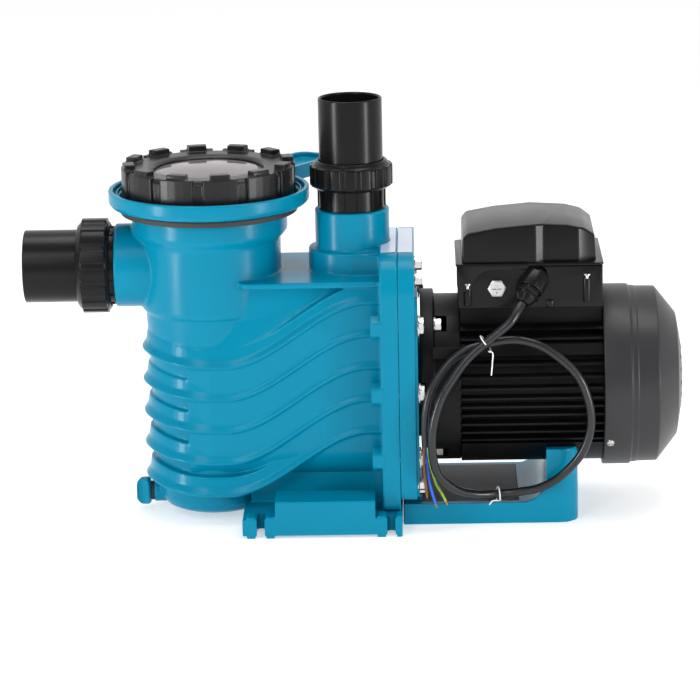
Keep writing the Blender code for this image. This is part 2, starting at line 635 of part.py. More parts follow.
lock = turned("lock_ring", [
    (LOCK_INNER_R, FLOOR_Z + 2 * FIT), (LOCK_CORE_R, FLOOR_Z + 2 * FIT),
    (LOCK_CORE_R, LOCK_TOP_Z - 2), (LOCK_CORE_R - 2, LOCK_TOP_Z), (WINDOW_R + 3, LOCK_TOP_Z),
    (WINDOW_R, LOCK_TOP_Z - 2.5), (WINDOW_R, LOCK_ROOF_Z), (LOCK_INNER_R, LOCK_ROOF_Z)],
    POT_AXIS)
for i in range(LOCK_LOBES):
    mid = LOCK_PHASE + i * 360 / LOCK_LOBES
    pts = arc(POT_X, 0, LOCK_R, mid - 7.3, mid + 7.3, 2)
    pts += [(POT_X + (LOCK_CORE_R - 2) * math.cos(math.radians(a)),
             (LOCK_CORE_R - 2) * math.sin(math.radians(a))) for a in (mid + 7.3, mid - 7.3)]
    lug = arc(POT_X, 0, LOCK_R - 1, mid - 6.5, mid + 6.5, 2) + arc(
        POT_X, 0, LOCK_CORE_R - 9, mid + 6.5, mid - 6.5, 2)
    join(lock, prism("lobe", pts, FLOOR_Z + 2 * FIT + 0.5, LOCK_TOP_Z - 1),
         prism("lug", lug, LOCK_TOP_Z - 4, LOCK_TOP_Z + LOCK_LUG_RISE))
finish(lock, "black", (POT_X, 0, FLOOR_Z))

BASKET_RIM_R = LID_BORE_R - 2
BASKET_LIP = 8.8         # how far the rim stands out from the shell
BASKET_TAPER = 8.2
BASKET_Z0 = 45.0
BASKET_WALL = 2.5
BASKET_SLOTS = 6         # each cuts through both sides
BASKET_TOP_R = BASKET_RIM_R - BASKET_LIP
BASKET_LOW_R = BASKET_TOP_R - BASKET_TAPER
basket = turned("strainer_basket", [
    (0, BASKET_Z0), (BASKET_LOW_R, BASKET_Z0), (BASKET_TOP_R, 205), (BASKET_TOP_R, BASKET_SEAT_Z + FIT),
    (BASKET_RIM_R, BASKET_SEAT_Z + FIT), (BASKET_RIM_R, BASKET_SEAT_Z + 3),
    (BASKET_TOP_R - BASKET_WALL, BASKET_SEAT_Z + 3), (BASKET_TOP_R - BASKET_WALL, 205),
    (BASKET_LOW_R - BASKET_WALL, BASKET_Z0 + BASKET_WALL), (0, BASKET_Z0 + BASKET_WALL)],
    POT_AXIS)
for i in range(BASKET_SLOTS):
    slot = block("slot", -90, 90, -3.5, 3.5, BASKET_Z0 + 10, 195)
    slot.data.transform(Matrix.Translation(POT_AXIS) @ Matrix.Rotation(
        math.radians(180 / BASKET_SLOTS * (i + 0.5)), 4, "Z"))
    cut(basket, slot)
cut(basket, rod("basket_inlet", SUCTION_UNION["bore"] - 4, -80, -30, (POT_X, 0, SUCTION_Z), "X"))
bail = prism("bail", arc(POT_X, BASKET_SEAT_Z - 2, BASKET_TOP_R - 1, 0, 180, 10)
             + arc(POT_X, BASKET_SEAT_Z - 2, BASKET_TOP_R - 5, 180, 0, 10), -5, 5, "Y")
bail.data.transform(Matrix.Translation((0, 0, BASKET_SEAT_Z - 2)) @ Matrix.Diagonal((1, 1, 0.55, 1))
                    @ Matrix.Translation((0, 0, -BASKET_SEAT_Z + 2)))
join(basket, bail)
finish(basket, "basket", (POT_X, 0, BASKET_SEAT_Z))


# --- unions --------------------------------------------------------------------------------------
def union_parts(prefix, u, face, axis):
    """Adapter, O-ring, tailpiece and nut stacked outward from a boss face."""
    pipe, bore, nut, neck = u["pipe"], u["bore"], u["nut"], u["neck"]
    nut0, nut1 = u["gap"], u["gap"] + u["nut_len"]
    seat = nut0 + u["nut_len"] * 0.52          # where adapter and tailpiece meet
    collar_r = neck + 1.6                      # threaded end and tail flange inside the nut
    stub = stub_radius(u)
    finish(turned(prefix + "_adapter", [
        (bore, -UNION_STUB), (stub, -UNION_STUB), (stub, FIT), (neck, FIT), (neck, nut0 + 2),
        (collar_r, nut0 + 3), (collar_r, seat), (stub + 1.5, seat), (stub + 1.5, seat - 2.6),
        (bore + 1.2, seat - 2.6), (bore + 1.2, seat), (bore, seat)], face, axis), "black", face)
    finish(turned(prefix + "_oring", [
        (bore + 1.5, seat - 2.3), (stub + 1.2, seat - 2.3), (stub + 1.2, seat), (bore + 1.5, seat)],
        face, axis), "rubber", face)
    finish(turned(prefix + "_tailpiece", [
        (bore, seat + FIT), (collar_r, seat + FIT), (collar_r, seat + 6), (pipe, seat + 6),
        (pipe, u["reach"] - 1), (pipe - 1, u["reach"]), (bore, u["reach"])], face, axis),
        "black", face)
    shell = turned("shell", [
        (0, nut0), (nut - 5, nut0), (nut, nut0 + 4), (nut, nut1 - 6), (pipe + 3.5, nut1), (0, nut1)],
        face, axis)
    outline = []
    grips = 16
    for i in range(grips):
        mid = 360 / grips * i
        outline += arc(0, 0, nut + 0.1, mid - 6.5, mid + 6.5, 1)
        outline += arc(0, 0, nut - 2.0, mid + 8.0, mid + 14.5, 1)
    nut_obj = prism(prefix + "_nut", outline, nut0 + 0.0, nut1 + 0.0)
    nut_obj.data.transform(Matrix.Translation(face) @ aim(axis))
    keep(nut_obj, shell)
    cut(nut_obj, turned("nut_bore", [
        (0, nut0 - 1), (collar_r + 2 * RUN, nut0 - 1), (collar_r + 2 * RUN, seat + 6 + FIT),
        (pipe + 0.6, seat + 6 + FIT), (pipe + 0.6, nut1 + 1), (0, nut1 + 1)], face, axis))
    finish(nut_obj, "black", face)


union_parts("suction", SUCTION_UNION, (INLET_FACE_X, 0, SUCTION_Z), "-X")
union_parts("discharge", DISCHARGE_UNION, (DISCHARGE_X, 0, BOSS_TOP_Z), "Z")

# --- drain ---------------------------------------------------------------------------------------
DRAIN_AXIS = (DRAIN_FACE_X, 0, DRAIN_Z)
finish(turned("drain_oring", [(DRAIN_R + 2 * RUN, FIT), (DRAIN_R + 4, FIT), (DRAIN_R + 4, FIT + 3),
                              (DRAIN_R + 2 * RUN, FIT + 3)], DRAIN_AXIS, "-X"), "rubber", DRAIN_AXIS)
knob0 = 2 * FIT + 3
plug = turned("drain_plug", [
    (0, -14), (DRAIN_R - 1, -14), (DRAIN_R, -13), (DRAIN_R, knob0), (DRAIN_KNOB_R - 2, knob0),
    (DRAIN_KNOB_R, knob0 + 2), (DRAIN_KNOB_R, knob0 + DRAIN_KNOB_T - 3),
    (DRAIN_KNOB_R - 3, knob0 + DRAIN_KNOB_T), (0, knob0 + DRAIN_KNOB_T)], DRAIN_AXIS, "-X")
for side in (-1, 1):
    cut(plug, block("grip", DRAIN_FACE_X - knob0 - DRAIN_KNOB_T - 1, DRAIN_FACE_X - knob0 - 3,
                    side * 9 - 5, side * 9 + 5, DRAIN_Z - 20, DRAIN_Z + 20))
finish(plug, "teal", DRAIN_AXIS)

# --- pump foot -----------------------------------------------------------------------------------
foot = block("pump_foot", -FOOT_HALF_X, FOOT_HALF_X, -FOOT_HALF_Y, FOOT_HALF_Y, FOOT_PAD, FOOT_TOP_Z)
pads = []
for side in (-1, 1):
    for slot_x in FOOT_SLOTS:
        for off in (-1, 1):
            x0 = slot_x + off * (SLOT_WIDTH / 2 + 1.5)
            x1 = slot_x + off * (SLOT_WIDTH / 2 + 9.5)
            y0, y1 = sorted((side * (FOOT_HALF_Y - 1), side * (FOOT_HALF_Y - 50)))
            pads.append(block("pad", min(x0, x1), min(max(x0, x1), FOOT_HALF_X), y0, y1, 0, FOOT_PAD + 2))
    y0, y1 = sorted((side * (FLANGE_HALF_Y + 1), side * FOOT_HALF_Y))
    pads.append(block("bolt_seat", FLANGE_X0, FOOT_HALF_X, y0, y1, FOOT_TOP_Z - 3, FOOT_TOP_Z + SEAT_RISE))
mid_pad = block("mid_pad", -24, 24, -40, 40, 0, FOOT_PAD + 2)
join(foot, mid_pad, *pads)
for side in (-1, 1):
    a, b = side * FOOT_HALF_Y, side * (FOOT_HALF_Y - FOOT_BLOCK_DEPTH)
    join(foot, prism("foot_block", [(a, FOOT_TOP_Z - 3), (a, FOOT_BLOCK_Z - 1),
                                    (a - side, FOOT_BLOCK_Z), (b, FOOT_BLOCK_Z),
                                    (b, FOOT_TOP_Z - 3)], -46, 52, "X"))
join(foot, block("saddle", -72, FLANGE_X0 - FIT - 0.2, -SADDLE_HALF_Y, SADDLE_HALF_Y,
                 FOOT_TOP_Z - 3, SADDLE_TOP_Z))
cut(foot, prism("body_way", flat_sided(BODY_HALF_Y, BODY_BOTTOM_Z, DECK_TOP_Z, BODY_LOW_R, -2 * FIT),
                -200, 200, "X"))
cut(foot, rod("pot_way", pot_radius(64) + 1.5, -5, 90, POT_AXIS, "Z"))
for side in (-1, 1):
    for slot_x, depth in zip(FOOT_SLOTS, SLOT_DEPTHS):
        y0, y1 = sorted((side * (FOOT_HALF_Y + 1), side * (FOOT_HALF_Y - depth)))
        cut(foot, block("slot", slot_x - SLOT_WIDTH / 2, slot_x + SLOT_WIDTH / 2, y0, y1, -1, 30))
finish(foot, "teal")

# --- motor support and mat -----------------------------------------------------------------------
MAT_T = 3.0
plan = ([(SUPPORT_X0, -SUPPORT_HALF_Y)]
        + arc(SUPPORT_X1 - 18, -SUPPORT_HALF_Y + 18, 18, 270, 360, 6)
        + arc(SUPPORT_X1 - 18, SUPPORT_HALF_Y - 18, 18, 0, 90, 6)
        + [(SUPPORT_X0, SUPPORT_HALF_Y)])
support = prism("motor_support", plan, 0, POST_TOP_Z)
side_view = [(SUPPORT_X0 - 1, -1), (SUPPORT_X1 + 1, -1), (SUPPORT_X1 + 1, POST_TOP_Z + 1),
             (POST_X0, POST_TOP_Z + 1), (POST_X0 - 1, POST_TOP_Z - 25), (POST_X0 - 4, SUPPORT_H + 18),
             (POST_X0 - 9, SUPPORT_H + 9), (POST_X0 - 17, SUPPORT_H + 3), (POST_X0 - 26, SUPPORT_H),
             (SUPPORT_X0 - 1, SUPPORT_H)]
keep(support, prism("side_view", side_view, -SUPPORT_HALF_Y - 1, SUPPORT_HALF_Y + 1, "Y"))
cut(support, rod("saddle", STATOR_R + 2 * FIT, -10, 400, MOTOR_AXIS, "X"))
MAT_X0, MAT_X1, MAT_HALF_Y = 98.0, POST_X0 - 27, SUPPORT_HALF_Y - 8
cut(support, block("mat_seat", MAT_X0, MAT_X1, -MAT_HALF_Y, MAT_HALF_Y, SUPPORT_H - MAT_T, 50))
finish(support, "teal")
finish(block("vibration_mat", MAT_X0 + FIT, MAT_X1 - FIT, -MAT_HALF_Y + FIT, MAT_HALF_Y - FIT,
             SUPPORT_H - MAT_T + FIT, SUPPORT_H + FIT), "mat")

# --- seal plate and wet end ----------------------------------------------------------------------
SPIGOT_X0 = 58.0
RIM_IN_R = DIFFUSER_R - 3.5
plate = prism("seal_plate", rounded(-FLANGE_HALF_Y, FLANGE_HALF_Y, PLATE_BOTTOM_Z, FLANGE_TOP_Z,
                                    FLANGE_CORNER_R, 8), PLATE_X0, PLATE_X1, "X")
join(plate, rod("spigot", RIM_IN_R - FIT, SPIGOT_X0, PLATE_X0 + 3, MOTOR_AXIS, "X"))
join(plate, prism("plate_pad", rounded(-FLANGE_HALF_Y + 1, FLANGE_HALF_Y - 1, PLATE_BOTTOM_Z + 0.5,
                                       FLANGE_TOP_Z - 38, 6, 8), PLATE_X1 - 3, PAD_X1, "X"))
join(plate, rod("register", 60, PAD_X1 - 3, SHIELD_X0 - FIT, MOTOR_AXIS, "X"))
SEAT_X0 = 66.3
SEAT_X1 = 75.5
cut(plate, rod("seal_room", SEAT_R + FIT, SPIGOT_X0 - 1, SEAT_X1 + FIT, MOTOR_AXIS, "X"))
cut(plate, rod("shaft_way", SHAFT_R + 1.5, SPIGOT_X0 - 1, SHIELD_X0 + 2, MOTOR_AXIS, "X"))
cut(plate, *[rod("bolt_hole", BOLT_R + FIT, PLATE_X0 - 1, PAD_X1 + 1, (0, y, z), "X")
             for y, z in BOLT_SPOTS])
MOTOR_BOLTS = [(sy * MOTOR_BOLT_Y, MOTOR_Z + sz * MOTOR_BOLT_DZ) for sy in (-1, 1) for sz in (-1, 1)]
finish(plate, "teal", smooth=30)

finish(turned("seal_seat", [(SHAFT_R + 1, SEAT_X0), (SEAT_R, SEAT_X0), (SEAT_R, SEAT_X1),
                            (SHAFT_R + 1, SEAT_X1)], MOTOR_AXIS, "X"), "ceramic")
diffuser = turned("diffuser", [
    (EYE_R, -30), (DUCT_R - 2 * FIT, -30), (DUCT_R - 2 * FIT, CHAMBER_X0 + FIT),
    (DIFFUSER_R, CHAMBER_X0 + FIT),
    (DIFFUSER_R, SPIGOT_X0 + 3), (RIM_IN_R, SPIGOT_X0 + 3), (RIM_IN_R, CHAMBER_X0 + 4),
    (EYE_R, CHAMBER_X0 + 4)], MOTOR_AXIS, "X")
for i in range(3):
    port = block("port", 12, 40, -70, 70, -9, 9)
    port.data.transform(Matrix.Translation(MOTOR_AXIS) @ Matrix.Rotation(math.radians(60 * i + 30), 4, "X"))
    cut(diffuser, port)
finish(diffuser, "noryl")

HUB_X0, HUB_X1 = 36.0, 50.0
impeller = turned("impeller", [(SHAFT_R + FIT, HUB_X0), (IMPELLER_R, HUB_X0), (IMPELLER_R, HUB_X0 + 3),
                               (14, HUB_X0 + 3), (14, HUB_X1), (SHAFT_R + FIT, HUB_X1)],
                  MOTOR_AXIS, "X")
RING_X0 = CHAMBER_X0 + 4 + FIT
join(impeller, turned("shroud", [(EYE_R, RING_X0 + 2), (EYE_R + 4, RING_X0 + 2), (EYE_R + 4, 14),
                                 (IMPELLER_R, 14), (IMPELLER_R, 17), (EYE_R, 17)],
                      MOTOR_AXIS, "X"))
VANES = 6
VANE_SWEEP = math.radians(70)
VANE_IN_R, VANE_OUT_R, VANE_T = 15.5, IMPELLER_R - 2, 2.6


def vane_point(t, offset):
    """A point on a vane's spiral, moved sideways by half its thickness."""
    r = VANE_IN_R + (VANE_OUT_R - VANE_IN_R) * t
    a = VANE_SWEEP * t
    lean = a + math.atan2(r * VANE_SWEEP, VANE_OUT_R - VANE_IN_R) + math.pi / 2
    return r * math.cos(a) + offset * math.cos(lean), r * math.sin(a) + offset * math.sin(lean)


for k in range(VANES):
    turn = 2 * math.pi * k / VANES
    outline = [vane_point(i / 4, VANE_T / 2) for i in range(5)]
    outline += [vane_point(i / 4, -VANE_T / 2) for i in reversed(range(5))]
    vane = prism("vane", [(x * math.cos(turn) - y * math.sin(turn),
                           MOTOR_Z + x * math.sin(turn) + y * math.cos(turn)) for x, y in outline],
                 15, HUB_X0 + 1.5, "X")
    join(impeller, vane)
finish(impeller, "noryl", MOTOR_AXIS)
finish(turned("wear_ring", [(EYE_R + 4 + 2 * RUN, RING_X0), (EYE_R + 11, RING_X0),
                            (EYE_R + 11, RING_X0 + 6), (EYE_R + 4 + 2 * RUN, RING_X0 + 6)],
              MOTOR_AXIS, "X"), "ceramic")
screw = prism("impeller_screw", hexagon(BOLT_HEAD_AF, 0, MOTOR_Z), 29, HUB_X0 - FIT, "X")
join(screw, rod("screw_shank", 3.5, 33, HUB_X0 + 16, MOTOR_AXIS, "X"))
finish(screw, "steel", MOTOR_AXIS)
seal_head = turned("seal_head", [
    (SHAFT_R + FIT, HUB_X1 + 1), (15, HUB_X1 + 1), (15, HUB_X1 + 5), (12.5, HUB_X1 + 6),
    (12.5, SEAT_X0 - 5), (14.5, SEAT_X0 - 4), (14.5, SEAT_X0 - FIT), (SHAFT_R + FIT, SEAT_X0 - FIT)],
    MOTOR_AXIS, "X")
finish(seal_head, "steel", MOTOR_AXIS)

# --- motor ---------------------------------------------------------------------------------------
SHIELD_X1 = SHIELD_X0 + SHIELD_FLANGE_T
fb, rb = FRONT_BEARING, REAR_BEARING
shield = turned("front_shield", [
    (SHAFT_R + 6, SHIELD_X0), (SHIELD_FLANGE_R, SHIELD_X0), (SHIELD_FLANGE_R, SHIELD_X1),
    (SHIELD_R, SHIELD_X1), (SHIELD_R, STATOR_X0 - FIT), (SHIELD_R - 7, STATOR_X0 - FIT),
    (SHIELD_R - 7, SHIELD_X1 + 6), (fb["r"] + 6, SHIELD_X1 + 6), (fb["r"] + 6, fb["x1"] + 1),
    (fb["r"] + FIT, fb["x1"] + 1), (fb["r"] + FIT, fb["x0"] - FIT), (SHAFT_R + 6, fb["x0"] - FIT)],
    MOTOR_AXIS, "X")
cut(shield, *[rod("bolt_pocket", 10.5, SHIELD_X1, SHIELD_X1 + 13, (0, y, z), "X")
              for y, z in MOTOR_BOLTS])
cut(shield, *[rod("bolt_way", 4 + FIT, SHIELD_X0 - 1, SHIELD_X1 + 1, (0, y, z), "X")
              for y, z in MOTOR_BOLTS if y < 0])
cut(shield, *[rod("head_way", BOLT_HEAD_AF * 0.6 + 1, SHIELD_X0 - 1, HEAD_X0 + BOLT_HEAD_T + 1,
                  (0, y, z), "X") for y, z in BOLT_SPOTS])
finish(shield, "motor", smooth=30)

for tag, b, seat in (("front_bearing", fb, BEARING_SEAT_R), ("rear_bearing", rb, REAR_SEAT_R)):
    race = (seat + b["r"]) / 2
    finish(turned(tag, [
        (seat + BEARING_RUN, b["x0"]), (race, b["x0"]), (race + 1, b["x0"] + 1), (b["r"], b["x0"]),
        (b["r"], b["x1"]), (seat + BEARING_RUN, b["x1"])], MOTOR_AXIS, "X"), "steel")

BOX_SEAT_HALF = 44.0
BOX_SEAT_Z = BOX_Z0 - FIT


def stator_outline():
    """Finned frame section, read round from the right of the box seat."""
    def side(sign):
        out = [(sign * BOX_SEAT_HALF, BOX_SEAT_Z)]
        top = MOTOR_Z + FIN_PITCH * (FIN_COUNT - 1) / 2 + 10.0
        out.append((sign * BOX_SEAT_HALF, MOTOR_Z + math.sqrt(STATOR_ROOT_R ** 2 - BOX_SEAT_HALF ** 2)))
        for i in range(FIN_COUNT):
            zc = top - i * FIN_PITCH
            for z, tip in ((zc + FIN_THICK / 2 + 0.8, 0), (zc + FIN_THICK / 2, 1),
                           (zc - FIN_THICK / 2, 1), (zc - FIN_THICK / 2 - 0.8, 0)):
                r = STATOR_R if tip else STATOR_ROOT_R
                dz = z - MOTOR_Z
                out.append((sign * math.sqrt(r * r - dz * dz), z))
        start = math.degrees(math.asin((out[-1][1] - 5.0 - MOTOR_Z) / STATOR_R))
        for j in range(13):
            a = math.radians(start + (-90 - start) * j / 12)
            out.append((sign * STATOR_R * math.cos(a), MOTOR_Z + STATOR_R * math.sin(a)))
        return out
    right, left = side(1), side(-1)
    return right + list(reversed(left[:-1]))


housing = prism("stator_housing", stator_outline(), STATOR_X0, STATOR_X1, "X")
cut(housing, rod("stator_bore", STATOR_BORE_R, STATOR_X0 - 1, STATOR_X1 + 1, MOTOR_AXIS, "X"))
finish(housing, "motor", smooth=30)

CORE_IN_R = ROTOR_R + AIR_GAP
core = turned("stator_core", [(CORE_IN_R, CORE_X0), (STATOR_BORE_R - FIT, CORE_X0),
                              (STATOR_BORE_R - FIT, CORE_X1), (CORE_IN_R, CORE_X1)], MOTOR_AXIS, "X")
WIND_R, BAR_R, BARS = 56.0, 4.0, 6
bars = [(WIND_R * math.cos(2 * math.pi * i / BARS), MOTOR_Z + WIND_R * math.sin(2 * math.pi * i / BARS))
        for i in range(BARS)]
cut(core, *[rod("slot", BAR_R + FIT, CORE_X0 - 1, CORE_X1 + 1, (0, y, z), "X") for y, z in bars])
finish(core, "laminate")
winding = turned("stator_winding", [(WIND_R - 6.5, CORE_X0 - 17), (WIND_R + 6.5, CORE_X0 - 17),
                                    (WIND_R + 6.5, CORE_X0 - 1), (WIND_R - 6.5, CORE_X0 - 1)],
                 MOTOR_AXIS, "X")
join(winding, *[rod("bar", BAR_R, CORE_X0 - 6, CORE_X1 + 6, (0, y, z), "X") for y, z in bars])
join(winding, turned("rear_turns", [(WIND_R - 6.5, CORE_X1 + 1), (WIND_R + 6.5, CORE_X1 + 1),
                                    (WIND_R + 6.5, CORE_X1 + 16), (WIND_R - 6.5, CORE_X1 + 16)],
                     MOTOR_AXIS, "X"))
finish(winding, "copper")

ROTOR_SEAT_R = 14.0
finish(turned("rotor_core", [(ROTOR_SEAT_R + FIT, CORE_X0), (ROTOR_R, CORE_X0), (ROTOR_R, CORE_X1),
                             (ROTOR_SEAT_R + FIT, CORE_X1)], MOTOR_AXIS, "X"), "laminate", MOTOR_AXIS)
SHAFT_X0 = HUB_X0 + FIT
finish(turned("motor_shaft", [
    (3.5 + FIT, SHAFT_X0), (SHAFT_R, SHAFT_X0), (SHAFT_R, fb["x0"] - 1), (BEARING_SEAT_R, fb["x0"] - 1),
    (BEARING_SEAT_R, fb["x1"] + 1), (ROTOR_SEAT_R, fb["x1"] + 1), (ROTOR_SEAT_R, rb["x0"] - 2),
    (REAR_SEAT_R, rb["x0"] - 2), (REAR_SEAT_R, SHAFT_END_X), (0, SHAFT_END_X),
    (0, SHAFT_X0 + 18), (3.5 + FIT, SHAFT_X0 + 18)], MOTOR_AXIS, "X"), "steel", MOTOR_AXIS)

REAR_R = 84.0
finish(turned("rear_shield", [
    (rb["r"] + FIT, rb["x0"] - 0.5), (rb["r"] + 5.5, rb["x0"] - 0.5), (rb["r"] + 5.5, STATOR_X1 + FIT),
    (REAR_R, STATOR_X1 + FIT), (REAR_R, rb["x1"] + 3), (REAR_SEAT_R + 2, rb["x1"] + 3),
    (REAR_SEAT_R + 2, rb["x1"] + FIT), (rb["r"] + FIT, rb["x1"] + FIT)], MOTOR_AXIS, "X"), "motor")

FAN_X0 = rb["x1"] + 16
fan = turned("cooling_fan", [(REAR_SEAT_R + FIT, FAN_X0), (32, FAN_X0), (32, FAN_X0 + 3),
                             (18, FAN_X0 + 3), (18, FAN_X0 + 20), (REAR_SEAT_R + FIT, FAN_X0 + 20)],
             MOTOR_AXIS, "X")
BLADES = 7
for i in range(BLADES):
    blade = block("blade", FAN_X0 + 1, FAN_X0 + 24, -1.2, 1.2, 17, 68)
    blade.data.transform(Matrix.Translation(MOTOR_AXIS) @ Matrix.Rotation(
        2 * math.pi * i / BLADES, 4, "X"))
    join(fan, blade)
finish(fan, "black", MOTOR_AXIS)

BODY_R = COVER_R - 1.9
cover = turned("fan_cover", [
    (STATOR_R + 2 * FIT, COVER_X0), (COVER_R, COVER_X0), (COVER_R, COVER_X0 + 27.5),
    (BODY_R, COVER_X0 + 28.5), (BODY_R - 0.8, COVER_X1 - 25), (BODY_R - 5, COVER_X1 - 15),
    (BODY_R - 15, COVER_X1 - 8.5), (BODY_R - 36, COVER_X1), (0, COVER_X1),
    (0, COVER_X1 - COVER_WALL), (BODY_R - 37, COVER_X1 - COVER_WALL), (BODY_R - 17, COVER_X1 - 12),
    (BODY_R - 5, COVER_X1 - 24), (COVER_R - COVER_WALL, COVER_X0 + 8),
    (STATOR_R + 2 * FIT, COVER_X0 + 5)], MOTOR_AXIS, "X")
VENTS = 5
for i in range(VENTS):
    vent = block("vent", COVER_X1 - 9, COVER_X1 + 2, 12, 44, -3, 3)
    vent2 = block("vent", COVER_X1 - 9, COVER_X1 + 2, -44, -12, -3, 3)
    turn = Matrix.Translation(MOTOR_AXIS) @ Matrix.Rotation(math.radians(180 / VENTS * i), 4, "X")
    vent.data.transform(turn)
    vent2.data.transform(turn)
    cut(cover, vent, vent2)
finish(cover, "charcoal", smooth=30)

# --- terminal box --------------------------------------------------------------------------------
box = block("terminal_box_base", BOX_X0, BOX_X1, BOX_Y0, BOX_Y1, BOX_Z0, BOX_Z1)
cut(box, block("hollow", BOX_X0 + BOX_WALL, BOX_X1 - BOX_WALL, BOX_Y0 + BOX_WALL, BOX_Y1 - BOX_WALL,
               BOX_Z0 + BOX_WALL + 1, BOX_Z1 + 1))
gland_boss = rod("gland_boss", 13, -2.5, GLAND_SEAT, GLAND_ROOT, GLAND_AXIS)
cut(gland_boss, block("inside", BOX_X0, BOX_X1, BOX_Y0 + BOX_WALL - 0.5, BOX_Y1, BOX_Z0 - 40, BOX_Z1 + 40))
join(box, gland_boss)
cut(box, rod("gland_way", 7 + 3 * FIT, -14, GLAND_SEAT + 3, GLAND_ROOT, GLAND_AXIS))
cut(box, block("sill", BOX_X0 - 5, BOX_X1 + 5, BOX_Y0 - 30, BOX_Y1 + 5, BOX_Z1, BOX_Z1 + 30))
finish(box, "black")

LID_Z0 = BOX_Z1 + FIT
LIP = 2.0


def cover_shape(name, inset):
    """Domed terminal box cover: a roof curve along X and a stepped front, both inset alike."""
    x0, x1 = BOX_X0 + 4, BOX_X1 - 13
    top = COVER_TOP_Z
    roof = [(x0, LID_Z0 - 10), (x1, LID_Z0 - 10), (x1 - 2, top - 14), (x0 + 120, top - 6),
            (x0 + 104, top - 2), (x0 + 70, top), (x0 + 34, top - 3), (x0 + 6, top - 8), (x0 + 1, top - 14)]
    y0, y1 = BOX_Y0 + 2, BOX_Y1 - 2
    plan_view = [(x0, y0), (x0 + 72, y0), (x0 + 88, y0 + 14), (x0 + 112, y0 + 14), (x1, y0 + 29),
                 (x1, y1), (x0, y1)]
    shape = prism(name, inset_outline(roof, inset), BOX_Y0 - 2, BOX_Y1 + 2, "Y")
    return keep(shape, prism("plan", inset_outline(plan_view, inset), LID_Z0 - 5, COVER_TOP_Z + 5))


lid = cover_shape("terminal_box_cover", 0.0)
flare = prism("flare", rounded(BOX_X0 - LIP, BOX_X1 + LIP - 1, BOX_Y0 - LIP, BOX_Y1 + LIP, 5, 5, 3),
              LID_Z0 - 0.5, LID_Z0 + 5)
join(lid, flare)
cut(lid, cover_shape("hollow", BOX_WALL))
cut(lid, block("level", BOX_X0 - 20, BOX_X1 + 20, BOX_Y0 - 20, BOX_Y1 + 20, LID_Z0 - 9, LID_Z0))
finish(lid, "black", smooth=25)

BLOCK_Z0 = BOX_Z0 + BOX_WALL + 1 + FIT
strip = block("terminal_block", BOX_X0 + 24, BOX_X0 + 66, -22, 12, BLOCK_Z0, BLOCK_Z0 + 14)
cut(strip, *[block("channel", BOX_X0 + 27 + 13 * i, BOX_X0 + 37 + 13 * i, -23, 13,
                   BLOCK_Z0 + 7, BLOCK_Z0 + 20) for i in range(3)])
finish(strip, "basket")
CAP_R = 17.0
capacitor = turned("run_capacitor", [
    (0, 0), (CAP_R - 1.5, 0), (CAP_R, 1.5), (CAP_R, 56), (5, 57), (5, 62), (0, 62)],
    (BOX_X0 + 74, 22, BLOCK_Z0 + CAP_R), "X")
finish(capacitor, "white")

gland_axis = Vector(GLAND_AXIS).normalized()
gland_turn = Matrix.Translation(GLAND_ROOT) @ aim(GLAND_AXIS)
gland = prism("cable_gland", hexagon(GLAND_AF), GLAND_SEAT + FIT, GLAND_SEAT + 6)
gland.data.transform(gland_turn)
join(gland, turned("gland_nut", [
    (0, -8), (7, -8), (7, GLAND_SEAT + 2), (10.3, GLAND_SEAT + 4), (10.3, GLAND_LEN - 6),
    (7, GLAND_LEN), (0, GLAND_LEN)], GLAND_ROOT, GLAND_AXIS))
finish(gland, "black")

# --- fasteners -----------------------------------------------------------------------------------
for index, (y, z) in enumerate(BOLT_SPOTS, 1):
    bolt = prism("casing_bolt_%d" % index, hexagon(BOLT_HEAD_AF, y, z, 0), HEAD_X0,
                 HEAD_X0 + BOLT_HEAD_T, "X")
    join(bolt, rod("shank", BOLT_R, FLANGE_X0 - BOLT_BOSS_LEN + 3, HEAD_X0 + 2, (0, y, z), "X"))
    finish(bolt, "steel", (HEAD_X0, y, z))
for index, (y, z) in enumerate([m for m in MOTOR_BOLTS if m[0] < 0], 1):
    bolt = prism("motor_bolt_%d" % index, hexagon(13, y, z, 0), SHIELD_X1 + FIT, SHIELD_X1 + 8, "X")
    join(bolt, rod("shank", 4, SHIELD_X0 + 0.5, SHIELD_X1 + 3, (0, y, z), "X"))
    finish(bolt, "steel", (SHIELD_X1, y, z))

# --- supply lead, coiled and tied beside the motor -----------------------------------------------
lead_start = Vector(GLAND_ROOT) + gland_axis * (GLAND_LEN + 2 * FIT)
LEAD_ROUTE = [
    tuple(lead_start), tuple(lead_start + gland_axis * 6), tuple(lead_start + gland_axis * 12),
    (184, -97.5, 208),
    (163, -99, 191), (144, -102, 175),
    (130, -106, 157), (118, -109, 137), (110, -110, 110), (108.8, -109, 84), (113.8, -104, 60),
    (131, -93, 41), (150, -80, 32), (172, -69.5, 29.2), (194, -73, 32), (214.6, -80, 38),
    (235, -84, 51), (255, -89, 75), (264, -92, 103), (261, -94, 132), (248.8, -94, 158),
    (222, -92, 181), (200, -90, 189.5), (181, -88.5, 190), (163, -88.5, 186.5), (144, -91, 181),
    (126, -95, 169), (110.2, -99, 147), (103.6, -100.5, 125), (102.2, -99.5, 104.5), (102.6, -98.5, 87)]
tube("power_cable", LEAD_ROUTE, CORD_R, material("power_cable", (0.015, 0.015, 0.017), 0.5),
     2.4 * 2 * CORD_R)
END_Z = 87.0 - FIT
tube("wire_brown", [(100.8, -99.5, END_Z), (100.3, -99.5, 70), (101, -98.5, 55), (102.5, -96, 38)], WIRE_R,
     material("wire_brown", (0.2, 0.07, 0.02), 0.45), 7)
tube("wire_blue", [(102.8, -97.2, END_Z), (103.4, -97.2, 70), (105, -96.5, 52), (108, -95, 38),
                   (111, -93, 27)], WIRE_R, material("wire_blue", (0.01, 0.09, 0.45), 0.45), 7)
